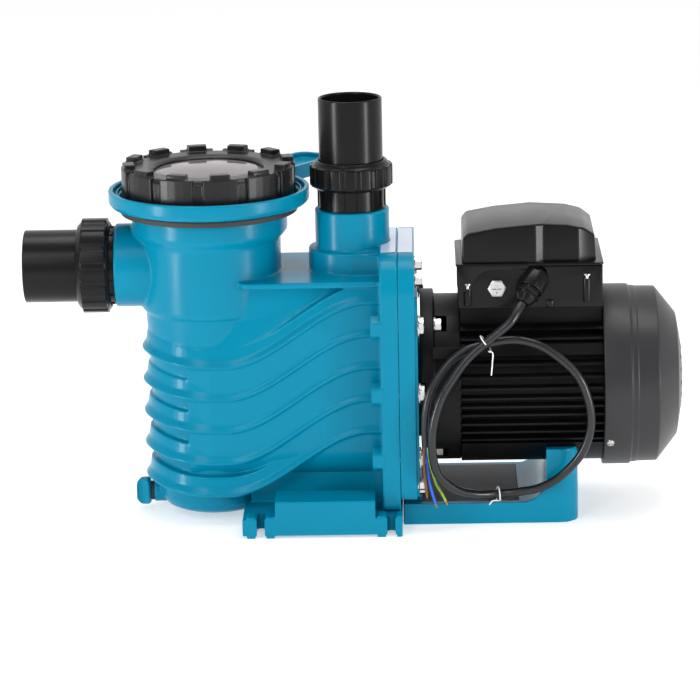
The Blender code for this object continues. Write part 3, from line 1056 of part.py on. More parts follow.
tube("wire_green_yellow", [(104.6, -99.9, END_Z), (106.2, -99.7, 72), (108.5, -96, 60), (112, -90, 46),
                           (117, -86, 36), (121, -85, 27)], WIRE_R,
     material("wire_green_yellow", (0.45, 0.6, 0.03), 0.45), 7)

tie_white = material("twist_tie_1", (0.8, 0.8, 0.8), 0.5)


def tie_loop(centre, along, rx, ry, turns, first, tail):
    """Route of a wire tie: most of a turn around the lead, then a hanging end."""
    ahead = Vector(along).normalized()
    side_a = ahead.cross(Vector((0, 1, 0))).normalized()
    side_b = ahead.cross(side_a).normalized()
    pts = []
    steps = 14
    for i in range(steps + 1):
        a = math.radians(first + turns * 360 * i / steps)
        drift = ahead * (2.4 * i / steps)
        pts.append(tuple(Vector(centre) + side_a * (rx * math.cos(a)) + side_b * (ry * math.sin(a)) + drift))
    return pts + tail


tube("twist_tie_1", tie_loop((163, -93.8, 188.8), (-18, 0, -14), 9.0, 11.8, 0.86, 100,
                             [(168.5, -108, 182), (168, -108.5, 172), (167, -108, 160)]),
     TIE_R, tie_white, 4.5)
tube("twist_tie_2", tie_loop((172, -69.5, 29.2), (44, 6, 0), 6.9, 6.9, 0.9, 200,
                             [(168, -79.5, 25), (164, -83, 22)]),
     TIE_R, material("twist_tie_2", (0.8, 0.8, 0.8), 0.5), 4.0)
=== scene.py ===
"""Pool pump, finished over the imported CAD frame."""
import math

import bmesh
import bpy
from mathutils import Matrix, Vector


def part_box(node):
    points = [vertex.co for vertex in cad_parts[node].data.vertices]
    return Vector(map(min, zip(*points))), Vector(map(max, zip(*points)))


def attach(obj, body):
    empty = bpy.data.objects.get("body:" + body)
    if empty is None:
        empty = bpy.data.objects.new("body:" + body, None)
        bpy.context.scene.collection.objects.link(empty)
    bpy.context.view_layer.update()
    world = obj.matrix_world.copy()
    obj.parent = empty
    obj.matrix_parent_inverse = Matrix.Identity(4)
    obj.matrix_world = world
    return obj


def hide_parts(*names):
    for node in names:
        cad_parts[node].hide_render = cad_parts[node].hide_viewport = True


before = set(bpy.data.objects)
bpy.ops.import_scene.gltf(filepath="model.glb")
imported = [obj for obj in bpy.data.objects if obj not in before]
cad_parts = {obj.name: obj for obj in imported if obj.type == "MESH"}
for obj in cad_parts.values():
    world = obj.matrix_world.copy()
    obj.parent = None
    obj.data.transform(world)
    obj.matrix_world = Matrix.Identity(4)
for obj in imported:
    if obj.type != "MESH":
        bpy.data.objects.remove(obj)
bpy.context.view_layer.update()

MM = 0.001
shift = Matrix.Translation


# --- places read from the frame ---
class Span:
    """The box of one or more CAD nodes, in millimetres."""

    def __init__(self, *nodes):
        boxes = [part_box(node) for node in nodes]
        self.x0, self.y0, self.z0 = (min(b[0][i] for b in boxes) / MM for i in range(3))
        self.x1, self.y1, self.z1 = (max(b[1][i] for b in boxes) / MM for i in range(3))
        self.cx, self.cy, self.cz = ((lo + hi) / 2 for lo, hi in (
            (self.x0, self.x1), (self.y0, self.y1), (self.z0, self.z1)))


casing = Span("pump_casing")
foot = Span("pump_foot")
support = Span("motor_support")
plate = Span("seal_plate")
lock = Span("lock_ring")
window = Span("lid_window")
collar = Span("lid_collar")
collar_seal = Span("collar_gasket")
s_tail, s_adapter = Span("suction_tailpiece"), Span("suction_adapter")
d_tail, d_adapter = Span("discharge_tailpiece"), Span("discharge_adapter")
shield = Span("front_shield")
stator = Span("stator_housing")
fan_cover = Span("fan_cover")
box = Span("terminal_box_base")
box_lid = Span("terminal_box_cover")
plug = Span("drain_plug")
label = Span("rating_label")
mat = Span("vibration_mat")
fan = Span("cooling_fan")
basket = Span("strainer_basket")

POT_X = lock.cx
OUT_X = d_tail.cx
IN_Z = s_tail.cz
AXIS_Z = fan_cover.cz
FLANGE_X1 = casing.x1
FLANGE_X0 = FLANGE_X1 - 17.5
FLANGE_HALF, FLANGE_TOP_R, FLANGE_LOW_R = 95, 36, 8
SOCKET = 22                       # depth of each union's socket in the casing
SUCTION_X = s_adapter.x1 - SOCKET
OUTLET_Z = d_adapter.z0 + SOCKET
DRAIN_X, DRAIN_Z = plug.x1 - 14, 18
BOX_FRONT = box.y1 - 114
POT_AT = (POT_X, 0, 0)
OUT_AT = (OUT_X, 0, 0)
MOTOR_AT = (0, 0, AXIS_Z)
BOLT_HALF, BOLT_RISE = 47.5, 63   # the motor bolts either side of the motor axis


# --- camera, light and stage ---
LENS, SENSOR, CAMERA_AWAY = 180, 36, 3.5
CAMERA_TARGET = (0.028, 0, 0.1606)
LIGHTS = {                        # place, target, size, power
    "key": ((-0.8, -1.7, 1.5), (0.03, 0, 0.2), (0.5, 1.6), 14),
    "fill": ((1.7, -1.5, 0.9), (0.03, 0, 0.2), (0.4, 1.6), 9),
    "top": ((0.1, 0.1, 1.9), (0.03, 0, 0.2), (1.8, 0.7), 18),
    "strip_left": ((-1.05, -0.66, 0.16), (-0.1, 0, 0.2), (0.16, 0.5), 8.0),
    "strip_right": ((1.15, -0.66, 0.16), (0.0, 0, 0.2), (0.16, 0.5), 7.0),
}


def link(name, data):
    obj = bpy.data.objects.new(name, data)
    bpy.context.scene.collection.objects.link(obj)
    return obj


def dial(node, values):
    """Set a node's sockets to constants."""
    for socket, value in values.items():
        node.inputs[socket].default_value = value


def make_camera():
    """A long lens, slightly above and to the right of the pump's side, rolled a little."""
    pitch, yaw, roll = math.radians(14), math.radians(1.3), math.radians(1.2)
    ahead = Vector((-math.sin(yaw) * math.cos(pitch), math.cos(yaw) * math.cos(pitch),
                    -math.sin(pitch)))
    data = bpy.data.cameras.new("camera")
    data.lens, data.sensor_width = LENS, SENSOR
    data.clip_end = 100
    cam = link("camera", data)
    cam.rotation_mode = "QUATERNION"
    cam.location = Vector(CAMERA_TARGET) - ahead * CAMERA_AWAY
    cam.rotation_quaternion = (ahead.to_track_quat("-Z", "Y")
                               @ Matrix.Rotation(-roll, 4, "Z").to_quaternion())
    bpy.context.scene.camera = cam


def area_light(name, place, target, size, power):
    data = bpy.data.lights.new(name, "AREA")
    data.shape, data.size, data.size_y, data.energy = "RECTANGLE", size[0], size[1], power
    lamp = link(name, data)
    lamp.location = place
    lamp.rotation_euler = (Vector(target) - Vector(place)).to_track_quat("-Z", "Y").to_euler()


def make_studio():
    """A world dimmer in front than behind, soft lamps and a pale floor."""
    world = bpy.data.worlds.new("studio")
    bpy.context.scene.world = world
    world.use_nodes = True
    tree = world.node_tree
    place = tree.nodes.new("ShaderNodeTexCoord")
    split = tree.nodes.new("ShaderNodeSeparateXYZ")
    sweep = tree.nodes.new("ShaderNodeMapRange")
    dial(sweep, {"From Min": -0.5, "From Max": 0.6, "To Min": 0.28, "To Max": 1.0})
    tree.links.new(place.outputs["Generated"], split.inputs["Vector"])
    tree.links.new(split.outputs["Y"], sweep.inputs["Value"])
    tree.links.new(sweep.outputs["Result"], tree.nodes["Background"].inputs["Strength"])
    dial(tree.nodes["Background"], {"Color": (1, 1, 1, 1)})
    bpy.context.scene.view_settings.view_transform = "Standard"
    for name, setting in LIGHTS.items():
        area_light(name, *setting)
    bm = bmesh.new()
    bmesh.ops.create_grid(bm, x_segments=1, y_segments=1, size=12)
    mesh = bpy.data.meshes.new("floor")
    bm.to_mesh(mesh)
    bm.free()
    floor = link("floor", mesh)
    pale = bpy.data.materials.new("floor")
    pale.use_nodes = True
    dial(pale.node_tree.nodes["Principled BSDF"], {
        "Base Color": (0.8, 0.8, 0.8, 1), "Roughness": 0.8, "Specular IOR Level": 0.1,
        "Emission Color": (1, 1, 1, 1), "Emission Strength": 0.45})
    mesh.materials.append(pale)


# --- materials ---
def surface(name, colour, rough, metallic=0.0, grain=900.0, bump=0.08, vary=0.06, rough_vary=0.06,
            coat=0.0, specular=0.5):
    """Moulded, painted or drawn surface: fine grain in the relief, slow drift in colour and gloss."""
    look = bpy.data.materials.new(name)
    look.use_nodes = True
    tree = look.node_tree
    shader = tree.nodes["Principled BSDF"]
    dial(shader, {"Metallic": metallic, "Specular IOR Level": specular, "Coat Weight": coat,
                  "Coat Roughness": 0.12})
    place = tree.nodes.new("ShaderNodeTexCoord")

    def noise(scale, detail):
        node = tree.nodes.new("ShaderNodeTexNoise")
        dial(node, {"Scale": scale, "Detail": detail})
        tree.links.new(place.outputs["Object"], node.inputs["Vector"])
        return node

    drift = noise(9.0, 3.0)
    mix = tree.nodes.new("ShaderNodeMix")
    mix.data_type = "RGBA"
    dial(mix, {"A": (*[c * (1 - vary) for c in colour], 1),
               "B": (*[min(1.0, c * (1 + vary)) for c in colour], 1)})
    tree.links.new(drift.outputs["Fac"], mix.inputs["Factor"])
    tree.links.new(mix.outputs["Result"], shader.inputs["Base Color"])
    spread = tree.nodes.new("ShaderNodeMapRange")
    dial(spread, {"To Min": max(0.02, rough - rough_vary), "To Max": min(1.0, rough + rough_vary)})
    tree.links.new(noise(38.0, 4.0).outputs["Fac"], spread.inputs["Value"])
    tree.links.new(spread.outputs["Result"], shader.inputs["Roughness"])
    relief = tree.nodes.new("ShaderNodeBump")
    dial(relief, {"Strength": bump, "Distance": 0.0004})
    tree.links.new(noise(grain, 2.0).outputs["Fac"], relief.inputs["Height"])
    tree.links.new(relief.outputs["Normal"], shader.inputs["Normal"])
    return look


TEAL = surface("teal_moulding", (0.0, 0.20, 0.325), 0.24, grain=700, bump=0.05, vary=0.05,
               specular=0.13)
BLACK = surface("black_moulding", (0.0075, 0.0072, 0.0078), 0.25, grain=800, bump=0.06,
                vary=0.1, specular=0.15)
LOCK = surface("lock_ring_moulding", (0.013, 0.0128, 0.0140), 0.30, grain=1100, bump=0.14,
               vary=0.1, specular=0.26)
MOTOR = surface("motor_paint", (0.0045, 0.0043, 0.0043), 0.40, grain=1300, bump=0.25, vary=0.1,
                specular=0.14)
COVER = surface("fan_cover_paint", (0.024, 0.023, 0.025), 0.36, grain=1500, bump=0.2, vary=0.06,
                specular=0.3)
HOUSING = surface("terminal_box_moulding", (0.0055, 0.005, 0.005), 0.24, grain=1500, bump=0.08,
                  vary=0.1, specular=0.2)
RUBBER = surface("rubber", (0.03, 0.03, 0.031), 0.7, grain=500, bump=0.2)
# Dark grey mat: painted shade, its grey standing in for the shaded top of the motor support under the
# motor.
MAT_PAINTED_SHADE = surface("vibration_mat", (0.10, 0.10, 0.104), 0.7, grain=420, bump=0.5)
STEEL = surface("stainless", (0.56, 0.55, 0.53), 0.24, metallic=1.0, grain=300, bump=0.04)
DULL = surface("zinc", (0.60, 0.60, 0.62), 0.38, metallic=0.9, grain=400, bump=0.06)
# Pale grey-blue label film: painted shade and painted reflection, its grey standing in for the shaded,
# dark-reflecting top of the teal deck.
LABEL_FILM_PAINTED_SHADE = surface("label_film_painted_shade", (0.52, 0.58, 0.72), 0.25, grain=60, bump=0.25, coat=0.3)
BASKET = surface("basket_moulding", (0.66, 0.60, 0.61), 0.45, grain=400, bump=0.06)
NORYL = surface("glass_filled_moulding", (0.03, 0.03, 0.034), 0.5, grain=900, bump=0.2)
CERAMIC = surface("lapped_ceramic", (0.8, 0.78, 0.72), 0.25, grain=600, bump=0.02)
COPPER = surface("enamelled_copper", (0.45, 0.17, 0.06), 0.35, metallic=0.8, grain=250, bump=0.6)
LAMINATE = surface("stamped_steel", (0.3, 0.3, 0.31), 0.4, metallic=0.9, grain=600, bump=0.3)
CORD = surface("cord_sheath", (0.010, 0.0105, 0.012), 0.27, grain=500, bump=0.12, specular=0.45)
WIRE_LOOKS = {
    "wire_brown": surface("insulation_brown", (0.16, 0.06, 0.02), 0.4),
    "wire_blue": surface("insulation_blue", (0.01, 0.12, 0.62), 0.35),
    "wire_green_yellow": surface("insulation_green_yellow", (0.5, 0.58, 0.03), 0.35),
}
TIE = surface("tie_film", (0.82, 0.82, 0.8), 0.4, grain=300, bump=0.2)


def window_material():
    """Smoke-tinted clear moulding with a faint haze."""
    clear = surface("clear_moulding", (0.30, 0.25, 0.265), 0.10, grain=120, bump=0.10, vary=0.35)
    dial(clear.node_tree.nodes["Principled BSDF"], {"Transmission Weight": 0.55, "IOR": 1.45})
    return clear


CLEAR = window_material()


def striped(look, second, pitch):
    """Runs a second colour along the insulation in bands."""
    tree = look.node_tree
    mix = next(n for n in tree.nodes if n.bl_idname == "ShaderNodeMix")
    wave = tree.nodes.new("ShaderNodeTexWave")
    wave.bands_direction = "X"
    wave.inputs["Scale"].default_value = pitch
    place = next(n for n in tree.nodes if n.bl_idname == "ShaderNodeTexCoord")
    tree.links.new(place.outputs["Object"], wave.inputs["Vector"])
    step = tree.nodes.new("ShaderNodeMath")
    step.operation = "GREATER_THAN"
    step.inputs[1].default_value = 0.55
    tree.links.new(wave.outputs["Fac"], step.inputs[0])
    tree.links.new(step.outputs["Value"], mix.inputs["Factor"])
    mix.inputs["B"].default_value = (*second, 1)


striped(WIRE_LOOKS["wire_green_yellow"], (0.02, 0.30, 0.03), 260)


# --- mesh helpers ---
def closed(name, bm):
    bmesh.ops.remove_doubles(bm, verts=bm.verts, dist=0.0008)
    bmesh.ops.recalc_face_normals(bm, faces=bm.faces)
    mesh = bpy.data.meshes.new(name)
    bm.to_mesh(mesh)
    bm.free()
    return link(name, mesh)


def aim(direction):
    """Rotation that takes +Z to the given direction."""
    if direction == "Z":
        return Matrix.Identity(4)
    if direction == "X":
        return Matrix.Rotation(math.radians(90), 4, "Y")
    if direction == "-X":
        return Matrix.Rotation(math.radians(-90), 4, "Y")
    return Vector((0, 0, 1)).rotation_difference(Vector(direction)).to_matrix().to_4x4()


def part_turn(index, count, axis):
    return Matrix.Rotation(math.tau * index / count, 4, axis)


def soften(points, radius, steps=3):
    """Round each real corner of a closed outline, leaving points on the axis alone."""
    out = []
    for i, here in enumerate(points):
        before, after = points[i - 1], points[(i + 1) % len(points)]
        p, a, b = Vector(here), Vector(before), Vector(after)
        la, lb = (a - p).length, (b - p).length
        if here[0] < 1e-6 or la < 1e-6 or lb < 1e-6 or (a - p).angle(b - p) > math.radians(165):
            out.append(tuple(here))
            continue
        p0, p1 = p + (a - p) * min(radius / la, 0.45), p + (b - p) * min(radius / lb, 0.45)
        for k in range(steps + 1):
            t = k / steps
            out.append(tuple(p0 * (1 - t) ** 2 + p * (2 * t * (1 - t)) + p1 * t * t))
    return out


def turned(name, profile, at, axis="Z", steps=96, soft=0.8):
    """Spin a closed (radius, height) outline with rounded corners about an axis."""
    bm = bmesh.new()
    ring = [bm.verts.new((r, 0.0, h)) for r, h in (soften(profile, soft) if soft else profile)]
    edges = [bm.edges.new((a, b)) for a, b in zip(ring, ring[1:] + ring[:1])
             if a.co.x > 1e-6 or b.co.x > 1e-6]
    bmesh.ops.spin(bm, geom=ring + edges, cent=(0, 0, 0), axis=(0, 0, 1), dvec=(0, 0, 0),
                   angle=2 * math.pi, steps=steps, use_merge=True, use_duplicate=False)
    bmesh.ops.remove_doubles(bm, verts=bm.verts, dist=0.0008)
    bmesh.ops.transform(bm, matrix=shift(at) @ aim(axis), verts=bm.verts)
    return closed(name, bm)


def band(r0, r1, z0, z1):
    """Square-edged profile for turned()."""
    return [(r0, z0), (r1, z0), (r1, z1), (r0, z1)]


def prism(name, outline, lo, hi, axis="Z"):
    """Extrude an outline: (x, y) along Z, (y, z) along X or (x, z) along Y."""
    order = {"Z": lambda a, b, h: (a, b, h), "X": lambda a, b, h: (h, a, b),
             "Y": lambda a, b, h: (a, h, b)}[axis]
    bm = bmesh.new()
    face = bm.faces.new([bm.verts.new(order(a, b, lo)) for a, b in outline])
    grown = bmesh.ops.extrude_face_region(bm, geom=[face])
    moved = [v for v in grown["geom"] if isinstance(v, bmesh.types.BMVert)]
    bmesh.ops.translate(bm, vec=Vector(order(0, 0, hi)) - Vector(order(0, 0, lo)), verts=moved)
    return closed(name, bm)


def lofted(name, outlines):
    """Skin a row of closed outlines and cap both ends."""
    bm = bmesh.new()
    rings = [[bm.verts.new(point) for point in outline] for outline in outlines]
    count = len(rings[0])
    for a, b in zip(rings, rings[1:]):
        for i in range(count):
            j = (i + 1) % count
            bm.faces.new((a[i], a[j], b[j], b[i]))
    bm.faces.new(rings[0])
    bm.faces.new(list(reversed(rings[-1])))
    return closed(name, bm)


def block(name, x0, x1, y0, y1, z0, z1):
    return prism(name, [(x0, y0), (x1, y0), (x1, y1), (x0, y1)], z0, z1)


def arc(cx, cy, r, a0, a1, count):
    return [(cx + r * math.cos(math.radians(a0 + (a1 - a0) * i / count)),
             cy + r * math.sin(math.radians(a0 + (a1 - a0) * i / count))) for i in range(count + 1)]


def rod(name, radius, lo, hi, at, axis="Z", steps=64):
    obj = prism(name, arc(0, 0, radius, 0, 360, steps)[:-1], lo, hi)
    obj.data.transform(shift(at) @ aim(axis))
    return obj


def rounded(y0, y1, z0, z1, top_r, low_r, count=10):
    return (arc(y1 - top_r, z1 - top_r, top_r, 0, 90, count)
            + arc(y0 + top_r, z1 - top_r, top_r, 90, 180, count)
            + arc(y0 + low_r, z0 + low_r, low_r, 180, 270, count)
            + arc(y1 - low_r, z0 + low_r, low_r, 270, 360, count))


def hexagon(af, cx=0.0, cy=0.0, turn=30.0):
    return arc(cx, cy, af / 2 / math.cos(math.radians(30)), turn, turn + 360, 6)[:-1]


def applied(obj):
    """Bake the object's modifiers into its mesh."""
    graph = bpy.context.evaluated_depsgraph_get()
    mesh = bpy.data.meshes.new_from_object(obj.evaluated_get(graph))
    obj.modifiers.clear()
    obj.data = mesh
    return obj


def combine(target, tools, operation, solver="EXACT"):
    for tool in tools:
        mod = target.modifiers.new("combine", "BOOLEAN")
        mod.operation, mod.object, mod.solver = operation, tool, solver
        applied(target)
        bpy.data.objects.remove(tool, do_unlink=True)
    return target


def join(target, *tools):
    return combine(target, tools, "UNION")


def cut(target, *tools):
    return combine(target, tools, "DIFFERENCE")


def keep(target, *tools):
    return combine(target, tools, "INTERSECT")


def carve(target, *tools):
    """Cut a moulded, dense shape."""
    return combine(target, tools, "DIFFERENCE", "MANIFOLD")


def merged(target, *others):
    """Put overlapping closed shapes in one mesh. mould() fuses them."""
    bm = bmesh.new()
    for obj in (target, *others):
        bm.from_mesh(obj.data)
    bm.to_mesh(target.data)
    bm.free()
    for obj in others:
        bpy.data.objects.remove(obj, do_unlink=True)
    return target


def mould(obj, grid, passes=4):
    """Fuse the shapes on a fine grid and relax the surface, which leaves moulded fillets."""
    fuse = obj.modifiers.new("fuse", "REMESH")
    fuse.mode, fuse.voxel_size, fuse.use_smooth_shade = "VOXEL", grid, True
    relax = obj.modifiers.new("relax", "SMOOTH")
    relax.factor, relax.iterations = 0.5, passes
    return applied(obj)


def thinned(obj, ratio):
    """Drop faces that flat and gently curved areas do not need."""
    mod = obj.modifiers.new("thin", "DECIMATE")
    mod.ratio = ratio
    return applied(obj)


def bevelled(obj, width, segments=3, angle=32):
    mod = obj.modifiers.new("edge", "BEVEL")
    mod.width, mod.segments, mod.limit_method = width, segments, "ANGLE"
    mod.angle_limit, mod.miter_outer = math.radians(angle), "MITER_ARC"
    return applied(obj)


def finish(obj, look, body, *nodes, sharp=38, weighted=True):
    """Scale to metres, shade, give the material and tie the piece to the frame."""
    obj.data.transform(Matrix.Scale(MM, 4))
    obj.data.materials.clear()
    obj.data.materials.append(look)
    obj.data.shade_smooth()
    obj.data.set_sharp_from_angle(angle=math.radians(sharp))
    if weighted:
        mod = obj.modifiers.new("normals", "WEIGHTED_NORMAL")
        mod.keep_sharp = True
        applied(obj)
    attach(obj, body)
    if nodes:
        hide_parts(*nodes)
    return obj


# --- supply lead ---
GLAND_ROOT = Vector((213.0, -64.0, 246.0))
GLAND_AXIS = Vector((-0.46, -0.62, -0.635)).normalized()
GLAND_SEAT, GLAND_LEN, GAP = 15.5, 32.0, 0.3
CORD_R, WIRE_R, TIE_R = 4.3, 1.4, 0.65
lead_start = GLAND_ROOT + GLAND_AXIS * (GLAND_LEN + 2 * GAP)
LEAD_ROUTE = [
    tuple(lead_start), tuple(lead_start + GLAND_AXIS * 6), tuple(lead_start + GLAND_AXIS * 12),
    (184, -97.5, 208), (163, -99, 191), (144, -102, 175),
    (130, -106, 157), (118, -109, 137), (110, -110, 110), (108.8, -109, 84), (113.8, -104, 60),
    (131, -93, 41), (150, -80, 32), (172, -69.5, 29.2), (194, -73, 32), (214.6, -80, 38),
    (235, -84, 51), (255, -89, 75), (264, -92, 103), (261, -94, 132), (248.8, -94, 158),
    (222, -92, 181), (200, -90, 189.5), (181, -88.5, 190), (163, -88.5, 186.5), (144, -91, 181),
    (126, -95, 169), (110.2, -99, 147), (103.6, -100.5, 125), (102.2, -99.5, 104.5),
    (102.6, -98.5, 87)]
END_Z = 87.0 - GAP
WIRE_ROUTES = {
    "wire_brown": [(100.8, -99.5, END_Z), (100.3, -99.5, 70), (101, -98.5, 55), (102.5, -96, 38)],
    "wire_blue": [(102.8, -97.2, END_Z), (103.4, -97.2, 70), (105, -96.5, 52), (108, -95, 38),
                  (111, -93, 27)],
    "wire_green_yellow": [(104.6, -99.9, END_Z), (106.2, -99.7, 72), (108.5, -96, 60),
                          (112, -90, 46), (117, -86, 36), (121, -85, 27)],
}


def smooth_route(points, spacing):
    """Evenly spaced points on a Catmull-Rom curve through a route."""
    pts = [Vector(p) for p in points]
    pts = [2 * pts[0] - pts[1]] + pts + [2 * pts[-1] - pts[-2]]
    fine = []
    for p0, p1, p2, p3 in zip(pts, pts[1:], pts[2:], pts[3:]):
        for i in range(24):
            t = i / 24
            fine.append(0.5 * (2 * p1 + (p2 - p0) * t + (2 * p0 - 5 * p1 + 4 * p2 - p3) * t * t
                               + (3 * p1 - p0 - 3 * p2 + p3) * t ** 3))
    fine.append(pts[-2])
    total = sum((b - a).length for a, b in zip(fine, fine[1:]))
    count = max(2, round(total / spacing))
    out, walked, target = [fine[0]], 0.0, total / count
    for a, b in zip(fine, fine[1:]):
        step = (b - a).length
        while walked + step >= target - 1e-6 and len(out) < count:
            out.append(a.lerp(b, (target - walked) / step))
            target += total / count
        walked += step
    return out + [fine[-1]], total


def tube(name, points, radius, look, spacing, resolution=6):
    """A cord as a poly curve with a round bevel."""
    curve = bpy.data.curves.new(name, "CURVE")
    curve.dimensions, curve.bevel_depth, curve.bevel_resolution = "3D", radius * MM, resolution
    curve.use_fill_caps = True
    route, total = smooth_route(points, spacing)
    spline = curve.splines.new("POLY")
    spline.points.add(len(route) - 1)
    for point, co in zip(spline.points, route):
        point.co = (co.x * MM, co.y * MM, co.z * MM, 1.0)
    spline.use_smooth = True
    curve.materials.append(look)
    return link(name, curve), total * MM


def tie_loop(centre, along, rx, ry, turns, first, tail):
    """Route of a wire tie: most of a turn around the lead, then a hanging end."""
    ahead = Vector(along).normalized()
    side_a = ahead.cross(Vector((0, 1, 0))).normalized()
    side_b = ahead.cross(side_a).normalized()
    pts = []
    steps, pitch = 14, 2.4
    for i in range(steps + 1):
        a = math.radians(first + turns * 360 * i / steps)
        drift = ahead * (pitch * i / steps)
        pts.append(tuple(Vector(centre) + side_a * (rx * math.cos(a)) + side_b * (ry * math.sin(a))
                         + drift))
    return pts + tail


def make_lead():
    lead, length = tube("supply_lead", LEAD_ROUTE, CORD_R, CORD, 4.0)
    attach(lead, "base")
    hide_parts("power_cable")
    for node, route in WIRE_ROUTES.items():
        wire, _ = tube(node + "_core", route, WIRE_R, WIRE_LOOKS[node], 2.5, 4)
        bright, _ = tube(node + "_strands", [route[-1], tuple(
            Vector(route[-1]) + (Vector(route[-1]) - Vector(route[-2])).normalized() * 4.5)],
            WIRE_R * 0.6, COPPER, 2.0, 3)
        for piece in (wire, bright):
            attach(piece, "base")
        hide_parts(node)
    ties = {
        "twist_tie_1": tie_loop((163, -93.8, 188.8), (-18, 0, -14), 9.0, 11.8, 0.86, 100,
                                [(168.5, -108, 182), (168, -108.5, 172), (167, -108, 160)]),
        "twist_tie_2": tie_loop((172, -69.5, 29.2), (44, 6, 0), 6.9, 6.9, 0.9, 200,
                                [(168, -79.5, 25), (164, -83, 22)]),
    }
    for node, route in ties.items():
        tie, _ = tube(node + "_wire", route, TIE_R, TIE, 1.2, 4)
        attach(tie, "base")
        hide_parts(node)


# --- pump casing ---
DECK_Z = 246.0
BODY_Y = 66.0
BODY_LOW_R = 36.0
RIB_PITCH, RIB_TOP_Z, RIB_LIFT, RIB_REACH, RIB_H = 32.6, 162.0, 63.5, 5.2, 2.2
RIB_SLOPE = 15.0
PROUD_Y, SHADE_Y, SHADE_Z, CHAMFER_Y = 68.4, 57.0, 228.0, 61.8
DECK_T = 5.5
DRUM_LOW_R, DRUM_HIGH_R, DRUM_R, NECK_R = 58.5, 65.7, 70.0, 77.0
BOLT_SPOTS = [(side * 85.0, z) for side in (-1, 1) for z in (204.0, 137.0, 71.0)]


def rib_level(x):
    """Height of the uppermost rib above a point on the casing."""
    if x <= POT_X:
        return RIB_TOP_Z + 8.0 * min(1.0, (POT_X - x) / DRUM_HIGH_R) ** 2
    run = min(1.0, max(0.0, (x - POT_X - 16.0) / (FLANGE_X0 - 28.0 - POT_X)))
    return RIB_TOP_Z + RIB_LIFT * run * run * (3 - 2 * run)


def rib(index):
    """A wavy ledge round the pot's free side that runs to the flange on both sides."""
    reach, skin, deep = BODY_Y + RIB_REACH, BODY_Y - 0.5, BODY_Y - 10
    path = [(FLANGE_X0 + 4 + (POT_X - FLANGE_X0 - 4) * i / 40, -1, 0.0) for i in range(41)]
    path += [(POT_X, math.cos(a), math.sin(a)) for a in
             (math.radians(270 - 180 * i / 36) for i in range(1, 36))]
    path += [(POT_X + (FLANGE_X0 + 4 - POT_X) * i / 40, 1, 0.0) for i in range(41)]
    outlines = []
    for x, c, s in path:
        radii = (deep, skin, skin + 1.6, reach - 1.2, reach)
        if s or abs(c) < 1:
            points = [(POT_X + r * c, r * s) for r in radii]
        else:
            points = [(x, r * c) for r in radii]
        inner, wall, mid, near, outer = points
        z = rib_level(outer[0]) - index * RIB_PITCH
        ledge = ((inner, -RIB_H - 1.6), (near, -RIB_H), (outer, -RIB_H + 1.2), (outer, 0.6),
                 (near, RIB_H), (mid, RIB_H + 4.5), (wall, RIB_H + RIB_SLOPE),
                 (inner, RIB_H + RIB_SLOPE + 1))
        outlines.append([(*at, z + lift) for at, lift in ledge])
    return lofted("rib", outlines)


def section(half, z_low, z_top, low_r, inset=0.0):
    r = low_r - inset
    return ([(half - inset, z_top - inset), (-half + inset, z_top - inset)]
            + arc(-half + low_r, z_low + low_r, r, 180, 270, 10)
            + arc(half - low_r, z_low + low_r, r, 270, 360, 10))


def body_loft():
    """Body: a chamfer by the pot, flat sides up to the uppermost rib, set back under the deck."""
    stations = [POT_X - 23] + [POT_X - 1 + (FLANGE_X0 + 3 - POT_X) * i / 40 for i in range(41)]
    outlines = []
    for x in stations:
        half = PROUD_Y if x > POT_X - 2 else CHAMFER_Y
        level = min(rib_level(x), SHADE_Z)
        mid = level + (DECK_Z - 6 - level) * 0.55
        upper = [(half, 40), (half, level), (half - (half - SHADE_Y) * 0.7, mid),
                 (SHADE_Y, DECK_Z - 6), (SHADE_Y, DECK_Z - 1)]
        outlines.append([(x, y, z) for y, z in upper + [(-y, z) for y, z in reversed(upper)]])
    return lofted("body", outlines)


